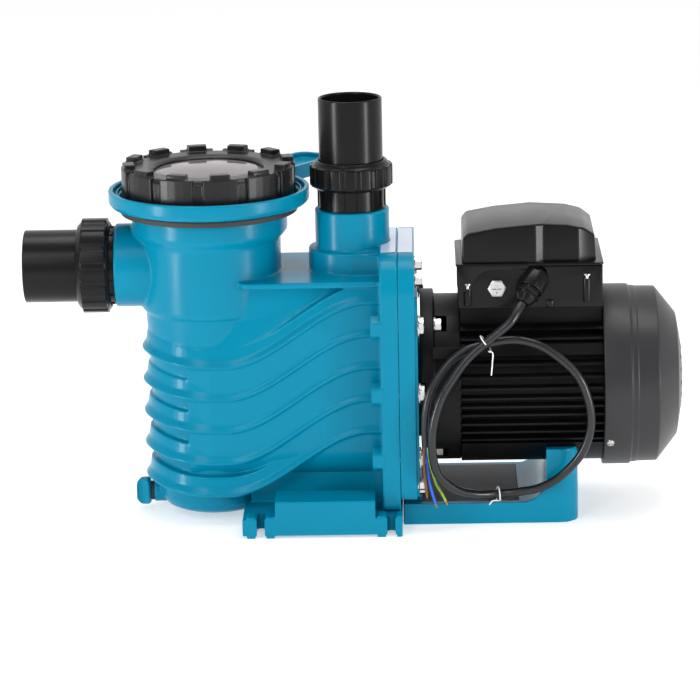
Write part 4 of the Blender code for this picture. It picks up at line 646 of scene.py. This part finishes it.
def make_casing():
    top = collar_seal.z0 - GAP
    pot = turned("casing_shell", [
        (0, 6), (44, 6), (52, 10), (DRUM_LOW_R - 2, 18), (DRUM_LOW_R, 47), (DRUM_HIGH_R, 203),
        (DRUM_HIGH_R, 208), (DRUM_R - 1.2, 209), (DRUM_R, 212), (DRUM_R, 279), (NECK_R, 287),
        (NECK_R, top), (0, top)], POT_AT, steps=128, soft=2.0)
    body = keep(body_loft(), prism("section", section(PROUD_Y, 43, DECK_Z - 2, BODY_LOW_R), POT_X - 30,
                                   FLANGE_X0 + 2, "X"))
    deck = prism("deck", [(POT_X + 36, -72), (FLANGE_X0 + 2, -72), (FLANGE_X0 + 2, 72),
                          (POT_X + 36, 72), (POT_X + 18, 50), (POT_X + 18, -50)],
                 DECK_Z - DECK_T, DECK_Z)
    low = turned("low", [(0, 238), (43.8, 238), (43.8, 267), (42.8, 268), (0, 268)], OUT_AT, soft=0.8)
    side = block("side", OUT_X, FLANGE_X0 + 2, -43.4, 43.4, 238, 266)
    boss = turned("boss", band(0, 36.7, 238, OUTLET_Z), OUT_AT, soft=1.2)
    long = POT_X - 15 - SUCTION_X
    inlet = turned("inlet", band(0, 41.4, 0, long), (SUCTION_X, 0, IN_Z), "X", soft=1.2)
    flange = prism("flange", rounded(-FLANGE_HALF, FLANGE_HALF, casing.z0 + 13.3, plate.z1,
                                     FLANGE_TOP_R, FLANGE_LOW_R), FLANGE_X0, FLANGE_X1, "X")
    drain = rod("drain", 11, 0, 20, (DRAIN_X, 0, DRAIN_Z), "X")
    merged(pot, body, deck, low, side, boss, inlet, flange, drain)
    merged(pot, *[rib(i) for i in range(5)])
    merged(pot, *[prism("hex", hexagon(22, y, z), FLANGE_X0 - 9.6, FLANGE_X0 + 2, "X")
                  for y, z in BOLT_SPOTS])
    mould(pot, 1.1, passes=3)
    carve(pot, turned("bore", [(0, 12), (47, 12), (52, 20), (53, 47), (60.2, 203), (62.2, 292),
                               (68, 292), (68, top + 4), (0, top + 4)], POT_AT, soft=0))
    carve(pot, rod("suction_seat", 35.4, -1, SOCKET + 1, (SUCTION_X, 0, IN_Z), "X"),
          rod("suction_way", 28, 20, 60, (SUCTION_X, 0, IN_Z), "X"))
    carve(pot, prism("chamber", section(SHADE_Y, 43, DECK_Z - DECK_T, BODY_LOW_R, 6), -12,
                     FLANGE_X1 + 1, "X"))
    carve(pot, rod("duct", 24, POT_X + 20, -7, MOTOR_AT, "X"))
    carve(pot, rod("discharge_way", 24.7, 200, OUTLET_Z + 2, OUT_AT),
          rod("discharge_seat", 31, OUTLET_Z - SOCKET - 1, OUTLET_Z + 2, OUT_AT))
    carve(pot, prism("seal_seat", rounded(-76.3, 76.3, 33.7, DECK_Z + 2.3, 28, 28), FLANGE_X1 - 3.3,
                     FLANGE_X1 + 1, "X"))
    carve(pot, rod("drain_hole", 6.9, -2, 30, (DRAIN_X, 0, DRAIN_Z), "X"))
    carve(pot, *[rod("bolt_way", 5.3, FLANGE_X0 - 7, FLANGE_X1 + 1, (0, y, z), "X", 32)
                 for y, z in BOLT_SPOTS])
    thinned(pot, 0.4)
    finish(pot, TEAL, "base", "pump_casing", sharp=50, weighted=False)


def make_label():
    # Blank label sheets whose grey is painted shade and painted reflection on the deck and seal plate
    # tops.
    film = block("deck_label_painted_shade", label.x0, label.x1, label.y0, label.y1, label.z0, label.z1)
    cut(film, rod("outlet_way", 37.6, label.z0 - 5, label.z1 + 5, OUT_AT))
    finish(bevelled(film, 0.15, 1), LABEL_FILM_PAINTED_SHADE, "base", "rating_label")
    twin = block("seal_plate_label_painted_shade", plate.x0 + 19.5, plate.x0 + 34, label.y0, label.y1,
                 plate.z1 + 0.1, plate.z1 + 0.6)
    finish(bevelled(twin, 0.15, 1), LABEL_FILM_PAINTED_SHADE, "base")


# --- lid ---
ARM_TURN = 55


def arm_outline(near, far, half, corner):
    """Plan of the collar's arm: square at the ring, rounded at its free end."""
    along = Vector((math.cos(math.radians(ARM_TURN)), math.sin(math.radians(ARM_TURN))))
    across = Vector((-along.y, along.x))
    local = ([(near, -half)] + arc(far - corner, -half + corner, corner, -90, 0, 6)
             + arc(far - corner, half - corner, corner, 0, 90, 6) + [(near, half)])
    return [(POT_X + (along * a + across * b).x, (along * a + across * b).y) for a, b in local]


def make_collar():
    z0, z1 = collar.z0, collar.z1 - 3.5
    floor = z0 + 6.5
    ring = turned("collar_ring", [
        (70.6, z0), (88, z0), (97, z0 + 2.5), (99.4, z0 + 6), (99.4, z1), (94.5, z1), (94.5, floor + 5),
        (88, floor + 5), (88, floor), (70.6, floor)], POT_AT, steps=160, soft=1.0)
    arm = prism("arm", arm_outline(96, 185, 24, 14), z1 - 11, collar.z1)
    cut(arm, prism("pocket", arm_outline(103, 180, 19, 10), collar.z1 - 6, collar.z1 + 3))
    merged(ring, arm)
    merged(ring, turned("inner_step", band(90.2, 92, floor, z1 - 2.5), POT_AT, steps=160, soft=0.4))
    thinned(mould(ring, 0.9, passes=2), 0.4)
    finish(ring, TEAL, "base", "lid_collar", sharp=50, weighted=False)
    seal = turned("collar_seal", band(70.5, 87.6, collar_seal.z0, collar_seal.z1), POT_AT, soft=1.2)
    finish(seal, RUBBER, "base", "collar_gasket")


LOBES = 12


def make_lock_ring():
    z0, rim = lock.z0, lock.z1 - 6
    ring = turned("lock_body", [(79, z0), (82.5, z0), (83, rim - 4), (79, rim), (60, rim - 0.5),
                                (57, rim - 1.5), (54, rim - 3.5), (54, rim - 5), (79, rim - 5)],
                  POT_AT, steps=128, soft=1.2)
    for i in range(LOBES):
        mid = 11.3 + 30 * i
        side = (arc(POT_X, 0, 86, mid - 11.5, mid + 11.5, 4)
                + arc(POT_X, 0, 80.5, mid + 11.5, mid - 11.5, 6))
        top = (arc(POT_X, 0, 84.6, mid - 6.8, mid + 6.8, 6)
               + arc(POT_X, 0, 73.5, mid + 6.8, mid - 6.8, 6))
        merged(ring, prism("lobe", side, z0 + 0.5, rim + 1), prism("lug", top, rim - 4, rim + 5.8))
    thinned(mould(ring, 0.9, passes=3), 0.35)
    finish(ring, LOCK, "lock_ring", "lock_ring", sharp=60, weighted=False)


def make_window():
    z0 = window.z0
    roof = window.z1 - 5
    finish(turned("clear_window", [
        (62, z0), (67, z0), (67, z0 + 4), (64.2, z0 + 4), (64.2, z0 + 8.2), (67, z0 + 8.2),
        (67, 318.8), (77.4, 318.8), (77.4, 324.8), (66, 324.8), (66, roof - 0.3), (53.2, roof - 0.3),
        (49, roof + 1.5), (30, roof + 4), (0, roof + 5), (0, roof + 1), (48, roof - 3), (61, roof - 8)],
        POT_AT, steps=128, soft=0.9), CLEAR, "lid", "lid_window")
    for angle in (0, 60, 120):
        web = block("window_web_%d" % angle, -47, 47, -0.9, 0.9, roof - 6.5, roof - 2.4)
        web.data.transform(shift(POT_AT) @ Matrix.Rotation(math.radians(angle + 15), 4, "Z"))
        finish(bevelled(web, 0.3, 2), CLEAR, "lid")
    seal = turned("lid_seal", band(64.6, 67.6, z0 + 4.4, z0 + 7.8), POT_AT, soft=1.4)
    finish(seal, RUBBER, "lid", "lid_oring")


def make_basket():
    z0, seat = basket.z0, 292.3
    shell = turned("basket_shell", [
        (0, z0), (49, z0), (57.2, 205), (57.2, seat), (66, seat), (66, seat + 2.7), (54.7, seat + 2.7),
        (54.7, 205), (46.5, z0 + 2.5), (0, z0 + 2.5)], POT_AT, soft=0.6)
    slots = []
    for i in range(12):
        slot = block("slot", -90, 90, -2.6, 2.6, z0 + 12, 198)
        slot.data.transform(shift(POT_AT) @ Matrix.Rotation(math.radians(15 * i), 4, "Z"))
        slots.append(slot)
    cut(shell, *slots)
    for z in range(70, 190, 22):
        join(shell, turned("hoop", [(50.5 + (z - 45) * 0.05, z), (55 + (z - 45) * 0.02, z),
                                    (55 + (z - 45) * 0.02, z + 3), (50.5 + (z - 45) * 0.05, z + 3)],
                           POT_AT, soft=0))
    cut(shell, rod("inlet", 29, -80, -30, (POT_X, 0, IN_Z), "X"))
    bail = prism("bail", arc(POT_X, seat - 2, 56, 0, 180, 32) + arc(POT_X, seat - 2, 52.4, 180, 0, 32),
                 -4.6, 4.6, "Y")
    bail.data.transform(shift((0, 0, seat - 2)) @ Matrix.Diagonal((1, 1, 0.53, 1))
                        @ shift((0, 0, 2 - seat)))
    join(shell, bail)
    finish(shell, BASKET, "basket", "strainer_basket", weighted=False)


# --- unions ---
def make_union(prefix, pipe, bore, nut, neck, gap, nut_len, reach, face, axis):
    """Adapter, tailpiece and gripped nut stacked outward from a boss face."""
    nut0, nut1 = gap, gap + nut_len
    seat = nut0 + nut_len * 0.52
    thread, stub = neck + 1.6, bore + 2
    adapter = turned(prefix + "_socket", [
        (bore, -SOCKET), (stub, -SOCKET), (stub, GAP), (neck, GAP), (neck, nut0 + 2), (thread, nut0 + 3),
        (thread, seat), (stub + 1.5, seat), (stub + 1.5, seat - 2.6), (bore + 1.2, seat - 2.6),
        (bore + 1.2, seat), (bore, seat)], face, axis, soft=0.5)
    lugs = []
    for i in range(14):
        lug = block("lug", neck - 1, neck + 1.3, -1.1, 1.1, 1.5, max(4.4, nut0 - 0.6))
        lug.data.transform(shift(face) @ aim(axis) @ part_turn(i, 14, "Z"))
        lugs.append(lug)
    join(adapter, *lugs)
    finish(adapter, BLACK, "base", prefix + "_adapter")
    finish(turned(prefix + "_tail", [
        (bore, seat + GAP), (thread, seat + GAP), (thread, seat + 6), (pipe, seat + 6),
        (pipe, reach - 0.6), (pipe - 0.8, reach), (bore + 1.2, reach), (bore, reach - 1.4)],
        face, axis, steps=128, soft=0.7), BLACK, prefix + "_tail", prefix + "_tailpiece")
    grip = turned(prefix + "_grip", [
        (thread + 0.6, nut0), (nut - 5, nut0), (nut - 1.4, nut0 + 3.6), (nut - 1.4, nut1 - 6),
        (nut - 5, nut1 - 2.4), (pipe + 3.5, nut1), (pipe + 0.6, nut1), (pipe + 0.6, seat + 6.3),
        (thread + 0.6, seat + 6.3)], face, axis, steps=128, soft=1.2)
    for i in range(16):
        mid = 22.5 * i
        pad = prism("pad", arc(0, 0, nut, mid - 7.0, mid + 7.0, 4)
                    + arc(0, 0, nut - 3.4, mid + 7.0, mid - 7.0, 4), nut0 + 3, nut1 - 5)
        pad.data.transform(shift(face) @ aim(axis))
        merged(grip, pad)
    thinned(mould(grip, 0.7, passes=3), 0.35)
    finish(grip, BLACK, prefix + "_nut", prefix + "_nut", sharp=60, weighted=False)


# --- drain, foot and support ---
def make_drain_plug():
    knob = turned("drain_knob", [(0, -14), (5, -14), (6, -13), (6, 3.6), (12.3, 3.6), (14.2, 6.5),
                                 (13.6, 14), (9, 18.2), (0, 18.3)], (DRAIN_X, 0, DRAIN_Z), "-X",
                  soft=1.6)
    for side in (-1, 1):
        cut(knob, rod("grip", 9, -30, 30, (DRAIN_X - 14.5, side * 13.4, DRAIN_Z), "Z", 48))
    thinned(mould(knob, 0.45, passes=3), 0.5)
    finish(knob, TEAL, "drain_plug", "drain_plug", sharp=60, weighted=False)


FOOT_SLOTS = ((-60.5, 94), (67.5, 106))       # x of each slot, and how far in it starts


def make_foot():
    base = block("foot_casting", foot.x0, foot.x1, foot.y0, foot.y1, 3, 19)
    parts = [block("mid", -24, 24, -40, 40, 0, 5)]
    for side in (-1, 1):
        for slot_x, _ in FOOT_SLOTS:
            for x0, x1 in ((slot_x - 13.5, slot_x - 5.5), (slot_x + 5.5, min(slot_x + 13.5, foot.x1))):
                y0, y1 = sorted((side * 115, side * 66))
                parts.append(block("pad", x0, x1, y0, y1, 0, 5))
                y0, y1 = sorted((side * 115.5, side * 96.5))
                parts.append(block("cheek", x0, x1, y0, y1, 17, 21.5))
        a, b = side * 116, side * 76
        parts.append(prism("block", [(a, 16), (a, 36), (a - side, 37), (b, 37), (b, 16)], -46, 52,
                           "X"))
    saddle = block("saddle", -72, FLANGE_X0 - 0.5, -53, 53, 16, 64)
    cut(saddle, prism("way", section(BODY_Y, 43, DECK_Z, BODY_LOW_R, -0.6), -200, 200, "X"))
    merged(base, saddle, *parts)
    mould(base, 1.0, passes=2)
    carve(base, rod("pot_way", 61.2, -5, 90, POT_AT, steps=96))
    for side in (-1, 1):
        for slot_x, end in FOOT_SLOTS:
            y0, y1 = sorted((side * 117, side * end))
            carve(base, block("slot", slot_x - 4, slot_x + 4, y0, y1, -1, 30),
                  rod("slot_end", 4, -1, 30, (slot_x, side * end, 0), steps=24))
    thinned(base, 0.4)
    finish(base, TEAL, "base", "pump_foot", sharp=45, weighted=False)


def make_support():
    x0, x1, half, tall = support.x0, support.x1, support.y1, support.z1
    post = 221
    plan = ([(x0, -half)] + arc(x1 - 18, -half + 18, 18, 270, 360, 10)
            + arc(x1 - 18, half - 18, 18, 0, 90, 10) + [(x0, half)])
    side_view = [(x0 - 1, -1), (x1 + 1, -1), (x1 + 1, tall + 1), (post, tall + 1)]
    side_view += arc(post - 26, 47, 26, 0, -90, 12) + [(x0 - 1, 21)]
    cradle = keep(prism("cradle", plan, 0, tall),
                  prism("side_view", side_view, -half - 1, half + 1, "Y"))
    cut(cradle, rod("saddle", 85.6, -10, 400, MOTOR_AT, "X", 128))
    merged(cradle, block("tongue", x0 + 4, x0 + 22, -half + 14, half - 14, 18, 23.5))
    mould(cradle, 1.0, passes=3)
    carve(cradle, block("mat_seat", mat.x0 - GAP, mat.x1 + GAP, mat.y0 - GAP, mat.y1 + GAP, 18, 60))
    thinned(cradle, 0.35)
    finish(cradle, TEAL, "base", "motor_support", sharp=45, weighted=False)
    # The mat's dark grey is painted shade on the support's top under the motor.
    pad = block("support_mat_painted_shade", mat.x0, mat.x1, mat.y0, mat.y1, mat.z0, mat.z1)
    finish(bevelled(pad, 0.8, 3), MAT_PAINTED_SHADE, "base", "vibration_mat")


# --- seal plate and motor ---
def make_seal_plate():
    slab = prism("seal_slab", rounded(-FLANGE_HALF, FLANGE_HALF, plate.z0, plate.z1, FLANGE_TOP_R,
                                      FLANGE_LOW_R, 16), FLANGE_X1 + GAP, FLANGE_X1 + 16.5, "X")
    bevelled(slab, 1.2, 3, 60)
    pad = prism("pad", rounded(-93, 93, plate.z0 + 2, plate.z1 - 38, 10, 8, 8), FLANGE_X1 + 12,
                FLANGE_X1 + 18.9, "X")
    join(slab, pad, rod("register", 60, FLANGE_X1 + 14, shield.x0 - GAP, MOTOR_AT, "X", 96),
         rod("spigot", 53.2, plate.x0, FLANGE_X1 + 4, MOTOR_AT, "X", 96))
    cut(slab, rod("seal_room", 19.3, plate.x0 - 1, 75.8, MOTOR_AT, "X"),
        rod("shaft_way", 9.5, plate.x0 - 1, shield.x0 + 2, MOTOR_AT, "X"))
    finish(slab, TEAL, "base", "seal_plate")


def hex_head(name, af, thick, place, washer=0.0, axis="X"):
    """Hexagon head with a domed crown, on a washer."""
    head = prism(name, hexagon(af, 0, 0, 0), washer, thick)
    keep(head, turned("crown", [(0, washer - 0.1), (af * 0.6, washer - 0.1),
                                (af * 0.6, thick - af * 0.07), (af * 0.44, thick), (0, thick)],
                      (0, 0, 0), soft=0.3))
    bevelled(head, 0.25, 2)
    if washer:
        join(head, turned("washer", band(0, af * 0.68, 0, washer + 0.05), (0, 0, 0), steps=48,
                          soft=0.3))
    head.data.transform(shift(place) @ aim(axis))
    return head


def crossed(head, half, wide, low, high):
    """Cut a crossed slot in a head that points up."""
    return cut(head, block("slot", -half, half, -wide, wide, low, high),
               block("slot", -wide, wide, -half, half, low, high))


def cross_screw(name, profile, floor_z):
    """Small domed screw with a crossed slot, its seat at the origin."""
    screw = turned(name, profile, (0, 0, 0), steps=32, soft=0.3)
    return crossed(screw, 4, 0.5, floor_z, 4)


FLANGE_NUTS = ((-63, 262), (-73, 248), (-86, 45), (-62, 34))


def make_fasteners():
    for i, (y, z) in enumerate(BOLT_SPOTS, 1):
        bolt = Span("casing_bolt_%d" % i)
        head = hex_head("casing_screw_%d" % i, 16.6, 6.2, (bolt.x1 - 6.5, y, z), 1.4)
        merged(head, rod("shank", 5, bolt.x0, bolt.x1 - 6, (0, y, z), "X", 32))
        finish(head, STEEL, "base", "casing_bolt_%d" % i)
    for i in (1, 2):
        bolt = Span("motor_bolt_%d" % i)
        head = hex_head("motor_screw_%d" % i, 12.8, 7.6, (bolt.x1 - 7.7, bolt.cy, bolt.cz), 1.6)
        merged(head, rod("shank", 4, bolt.x0, bolt.x1 - 7, (0, bolt.cy, bolt.cz), "X", 32))
        finish(head, STEEL, "base", "motor_bolt_%d" % i)
    back = FLANGE_X1 + 16.8
    for i, (y, z) in enumerate(FLANGE_NUTS):
        finish(hex_head("flange_nut_%d" % i, 11, 7.5, (back, y, z), 1.2), STEEL, "base")
    for i, side in ((1, 1), (3, -1)):
        spot = (shield.x0 + 13.4, BOLT_HALF, AXIS_Z + side * BOLT_RISE)
        finish(hex_head("shield_nut_%d" % i, 12.8, 7.6, spot, 1.6), STEEL, "base")


def make_shield():
    x0, x1, mid = shield.x0, shield.x1, shield.x0 + 13.1
    bell = turned("drive_end_shield", [
        (14, x0), (88, x0), (88, mid), (83, mid + 0.6), (83, x1), (76, x1), (76, mid + 6), (32, mid + 6),
        (32, 131), (26.3, 131), (26.3, 113.7), (14, 113.7)], MOTOR_AT, "X", steps=160, soft=1.2)
    cut(bell, *[rod("pocket", 10.5, mid, mid + 13, (0, sy * BOLT_HALF, AXIS_Z + sz * BOLT_RISE), "X", 40)
                for sy in (-1, 1) for sz in (-1, 1)])
    cut(bell, *[rod("head_way", 11.2, x0 - 1, FLANGE_X1 + 26.4, (0, y, z), "X", 40)
                for y, z in BOLT_SPOTS])
    cut(bell, *[rod("way", 4.3, x0 - 1, mid + 1, (0, -BOLT_HALF, AXIS_Z + s * BOLT_RISE), "X", 32)
                for s in (-1, 1)])
    join(bell, turned("spacer", band(61, 87.6, plate.x1 + 0.2, x0 + 1), MOTOR_AT, "X", soft=0))
    for side in (-1, 1):
        join(bell, block("lug", mid - 1, x1, side * 79 - 4, side * 79 + 4, 171, 181))
    finish(bell, MOTOR, "base", "front_shield", weighted=False, sharp=35)


FIN_LEVELS = (193.9, 185.5, 162.6, 150.2, 139.5, 129.9, 121.4, 112.7, 102.7, 93.6, 84.6)


def fin_outline():
    """Finned frame section: thin fins, one wide rail and a smooth belly."""
    seat_half, seat_z, root, tip = 44.0, box.z0 - GAP, 76.0, 85.0

    def side(sign):
        def at(radius, z):
            return sign * math.sqrt(radius ** 2 - (z - AXIS_Z) ** 2), z
        out = [(sign * seat_half, seat_z), at(root, AXIS_Z + math.sqrt(root ** 2 - seat_half ** 2))]
        edges = [(z + 1.3, z - 1.3) for z in FIN_LEVELS] + [(181.3, 170.8)]
        for high, low in sorted(edges, reverse=True):
            out += [at(root, high + 1.0), at(tip - 0.6, high), at(tip, high - 0.4), at(tip, low + 0.4),
                    at(tip - 0.6, low), at(root, low - 1.0)]
        start = math.degrees(math.asin((80.0 - AXIS_Z) / tip))
        out += [(sign * x, z) for x, z in arc(0, AXIS_Z, tip, start, -90, 28)]
        return out
    return side(1) + list(reversed(side(-1)[:-1]))


def make_stator():
    frame_ = prism("finned_frame", fin_outline(), stator.x0, stator.x1, "X")
    cut(frame_, rod("bore", 70.4, stator.x0 - 1, stator.x1 + 1, MOTOR_AT, "X", 96))
    finish(frame_, MOTOR, "base", "stator_housing", weighted=False, sharp=30)


def make_fan_cover():
    x0, x1, rim = fan_cover.x0, fan_cover.x1, fan_cover.z1 - AXIS_Z
    body = rim - 1.9
    hood = turned("fan_hood", [
        (85.6, x0), (rim - 0.3, x0), (rim, x0 + 1.5), (rim, x0 + 27), (body + 0.2, x0 + 27.8),
        (body, x0 + 33.2), (body - 0.6, x0 + 33.8), (body - 0.9, x1 - 26), (body - 27, x1 - 5.6),
        (34, x1 - 0.8), (0, x1), (0, x1 - 3), (33, x1 - 3.8), (body - 29, x1 - 8.8),
        (body - 4.2, x1 - 27.5), (rim - 3.2, x0 + 26), (rim - 3.2, x0 + 8), (85.6, x0 + 5)],
        MOTOR_AT, "X", steps=160, soft=1.2)
    vents = []
    for i in range(20):
        for near, far in ((12, 26), (30, 44)):
            vent = block("vent", x1 - 12, x1 + 3, near, far, -1.7 - near * 0.02, 1.7 + near * 0.02)
            vent.data.transform(shift(MOTOR_AT) @ part_turn(i, 20, "X"))
            vents.append(vent)
    cut(hood, *vents)
    finish(hood, COVER, "base", "fan_cover", weighted=False, sharp=40)
    for i, side in enumerate((-1, 1)):
        screw = cross_screw("hood_screw_%d" % i, [(0, -3), (2, -3), (2, 0), (4.2, 0.1), (3.6, 1.6),
                                                  (1.6, 2.3), (0, 2.4)], 1.3)
        out = Vector((0, side * 0.82, -0.57)).normalized()
        spot = Vector((x0 + 6, 0, AXIS_Z)) + out * (rim - 0.3)
        screw.data.transform(shift(spot) @ aim(tuple(out)))
        finish(screw, STEEL, "base")


def make_fan():
    wheel = turned("fan_wheel", [(10.3, fan.x0), (32, fan.x0), (32, fan.x0 + 3), (18, fan.x0 + 3),
                                 (18, fan.x0 + 20), (10.3, fan.x0 + 20)], MOTOR_AT, "X", soft=0.6)
    for i in range(7):
        blade = block("blade", fan.x0 + 1, fan.x0 + 23.8, -1.1, 1.1, 17, 67)
        blade.data.transform(shift(MOTOR_AT) @ part_turn(i, 7, "X"))
        join(wheel, blade)
    finish(wheel, BLACK, "rotor", "cooling_fan", weighted=False)


# --- terminal box ---
def lid_shape(name, inset):
    """Domed cover: a roof curve along X and a stepped front."""
    x0, x1, top = box.x0 + 4, box.x1 - 5, box_lid.z1
    roof = [(x0 + inset, box.z1 - 10), (x1 - inset, box.z1 - 10), (x1 - 2 - inset, top - 14 - inset),
            (x0 + 120, top - 6 - inset), (x0 + 104, top - 2 - inset), (x0 + 70, top - inset),
            (x0 + 34, top - 3 - inset), (x0 + 6 + inset, top - 8 - inset),
            (x0 + 1 + inset, top - 14 - inset)]
    y0, y1 = BOX_FRONT + 2 + inset, box.y1 - 2 - inset
    plan = [(x0 + inset, y0), (x0 + 72, y0), (x0 + 80, y0 + 5), (x0 + 114, y0 + 5),
            (x1 - inset, y0 + 16), (x1 - inset, y1), (x0 + inset, y1)]
    shape = prism(name, roof, box.y1 - 120, box.y1 + 2, "Y")
    return keep(shape, prism("plan", plan, box.z1 - 5, top + 5))


def make_terminal_box():
    front = BOX_FRONT
    base = block("terminal_base", box.x0, box.x1, front, box.y1, box.z0, box.z1)
    cut(base, block("hollow", box.x0 + 3, box.x1 - 3, front + 3, box.y1 - 3, box.z0 + 4, box.z1 + 2))
    bevelled(base, 1.2, 3)
    boss = turned("boss", band(0, 12.6, -2.5, GLAND_SEAT), GLAND_ROOT, tuple(GLAND_AXIS), steps=48,
                  soft=1.0)
    cut(boss, block("inside", box.x0, box.x1, front + 2.5, box.y1, box.z0 - 40, box.z1 + 40))
    join(base, boss)
    for x, z0, z1 in ((145.5, 219, 238), (226, 217, 224), (262, 222, 246)):
        join(base, turned("post", band(0, 4.2, z0, z1), (x, front + 1.2, 0), steps=32, soft=0.8))
    cut(base, rod("way", 7.9, -14, GLAND_SEAT + 3, GLAND_ROOT, tuple(GLAND_AXIS), 40))
    cut(base, block("sill", box.x0 - 5, box.x1 + 5, front - 30, box.y1 + 5, box.z1, box.z1 + 30))
    finish(base, HOUSING, "base", "terminal_box_base", weighted=False)

    z0 = box.z1 + 0.3
    lid = bevelled(lid_shape("terminal_lid", 0), 2.0, 4, 20)
    flare = prism("flare", rounded(box_lid.x0, box_lid.x1, front - 2, box.y1 + 2, 5, 5), z0, z0 + 2.5)
    join(lid, bevelled(flare, 1.0, 3, 50))
    skirt = [(box_lid.x0 + 1, z0 + 3), (box_lid.x0 + 1, 240), (box_lid.x0 + 6, 234),
             (box_lid.x0 + 12, 233)]
    skirt += arc(box_lid.x0 + 37, 233, 22, 180, 100, 10) + [(205, 255), (205, z0 + 3)]
    join(lid, bevelled(prism("skirt", skirt, front - 2.4, front - 0.4, "Y"), 0.5, 2, 50))
    cut(lid, lid_shape("hollow", 3))
    cut(lid, block("level", box.x0 + 3, box.x1 - 3, front + 0.5, box.y1 - 0.5, z0 - 9, z0))
    finish(lid, HOUSING, "base", "terminal_box_cover", weighted=False, sharp=30)
    for i, (x, y, z) in enumerate(((145.5, front - 1.4, 240.5), (262, front - 1.2, 248.5),
                                   (270.5, front + 12, 254))):
        screw = cross_screw("lid_screw_%d" % i, [(0, -4), (1.8, -4), (1.8, 0), (3.8, 0), (3.4, 1.7),
                                                 (1.4, 2.4), (0, 2.5)], 1.4)
        screw.data.transform(shift((x, y, z)))
        finish(screw, STEEL, "base")
    earth = hex_head("earth_screw", 15.5, 5.5, (0, 0, 0), 0, "Z")
    crossed(earth, 4.5, 0.8, 3.6, 7)
    earth.data.transform(shift((174, front - 0.1, 237)) @ aim((0, -1, 0)))
    finish(earth, DULL, "base")


def make_gland():
    nut = bevelled(prism("gland_hex", hexagon(21.6), GLAND_SEAT + 0.3, GLAND_SEAT + 6), 0.6, 3)
    join(nut, turned("dome", [(0, -8), (6.9, -8), (6.9, GLAND_SEAT + 2), (10.2, GLAND_SEAT + 5),
                              (10.2, GLAND_SEAT + 10), (8.2, GLAND_SEAT + 13), (6.4, GLAND_LEN),
                              (0, GLAND_LEN)],
                     (0, 0, 0), steps=48, soft=1.0))
    nut.data.transform(shift(GLAND_ROOT) @ aim(tuple(GLAND_AXIS)))
    finish(nut, BLACK, "base", "cable_gland", weighted=False)


# --- sealed inner pieces keep their CAD shape ---
INNER_LOOKS = {
    "casing_gasket": RUBBER, "suction_oring": RUBBER, "discharge_oring": RUBBER, "drain_oring": RUBBER,
    "seal_seat": CERAMIC, "wear_ring": CERAMIC, "diffuser": NORYL, "impeller": NORYL,
    "impeller_screw": STEEL, "seal_head": STEEL, "motor_shaft": STEEL, "front_bearing": STEEL,
    "rear_bearing": STEEL, "rear_shield": MOTOR, "stator_core": LAMINATE, "rotor_core": LAMINATE,
    "stator_winding": COPPER, "terminal_block": BASKET, "run_capacitor": CERAMIC,
}


def dress_inner_nodes():
    for node, look in INNER_LOOKS.items():
        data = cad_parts[node].data
        data.materials.clear()
        data.materials.append(look)


for make in (make_camera, make_studio, make_lead, make_casing, make_label, make_collar,
             make_lock_ring, make_window, make_basket):
    make()
make_union("suction", pipe=36.0, bore=33.0, nut=47.2, neck=38.5, gap=5.0, nut_len=33.0,
           reach=90.7, face=(SUCTION_X, 0, IN_Z), axis="-X")
make_union("discharge", pipe=31.5, bore=28.7, nut=41.0, neck=32.4, gap=20.5, nut_len=28.0,
           reach=110.2, face=(OUT_X, 0, OUTLET_Z), axis="Z")
for make in (make_drain_plug, make_foot, make_support, make_seal_plate, make_fasteners,
             make_shield, make_stator, make_fan_cover, make_fan, make_terminal_box, make_gland,
             dress_inner_nodes):
    make()
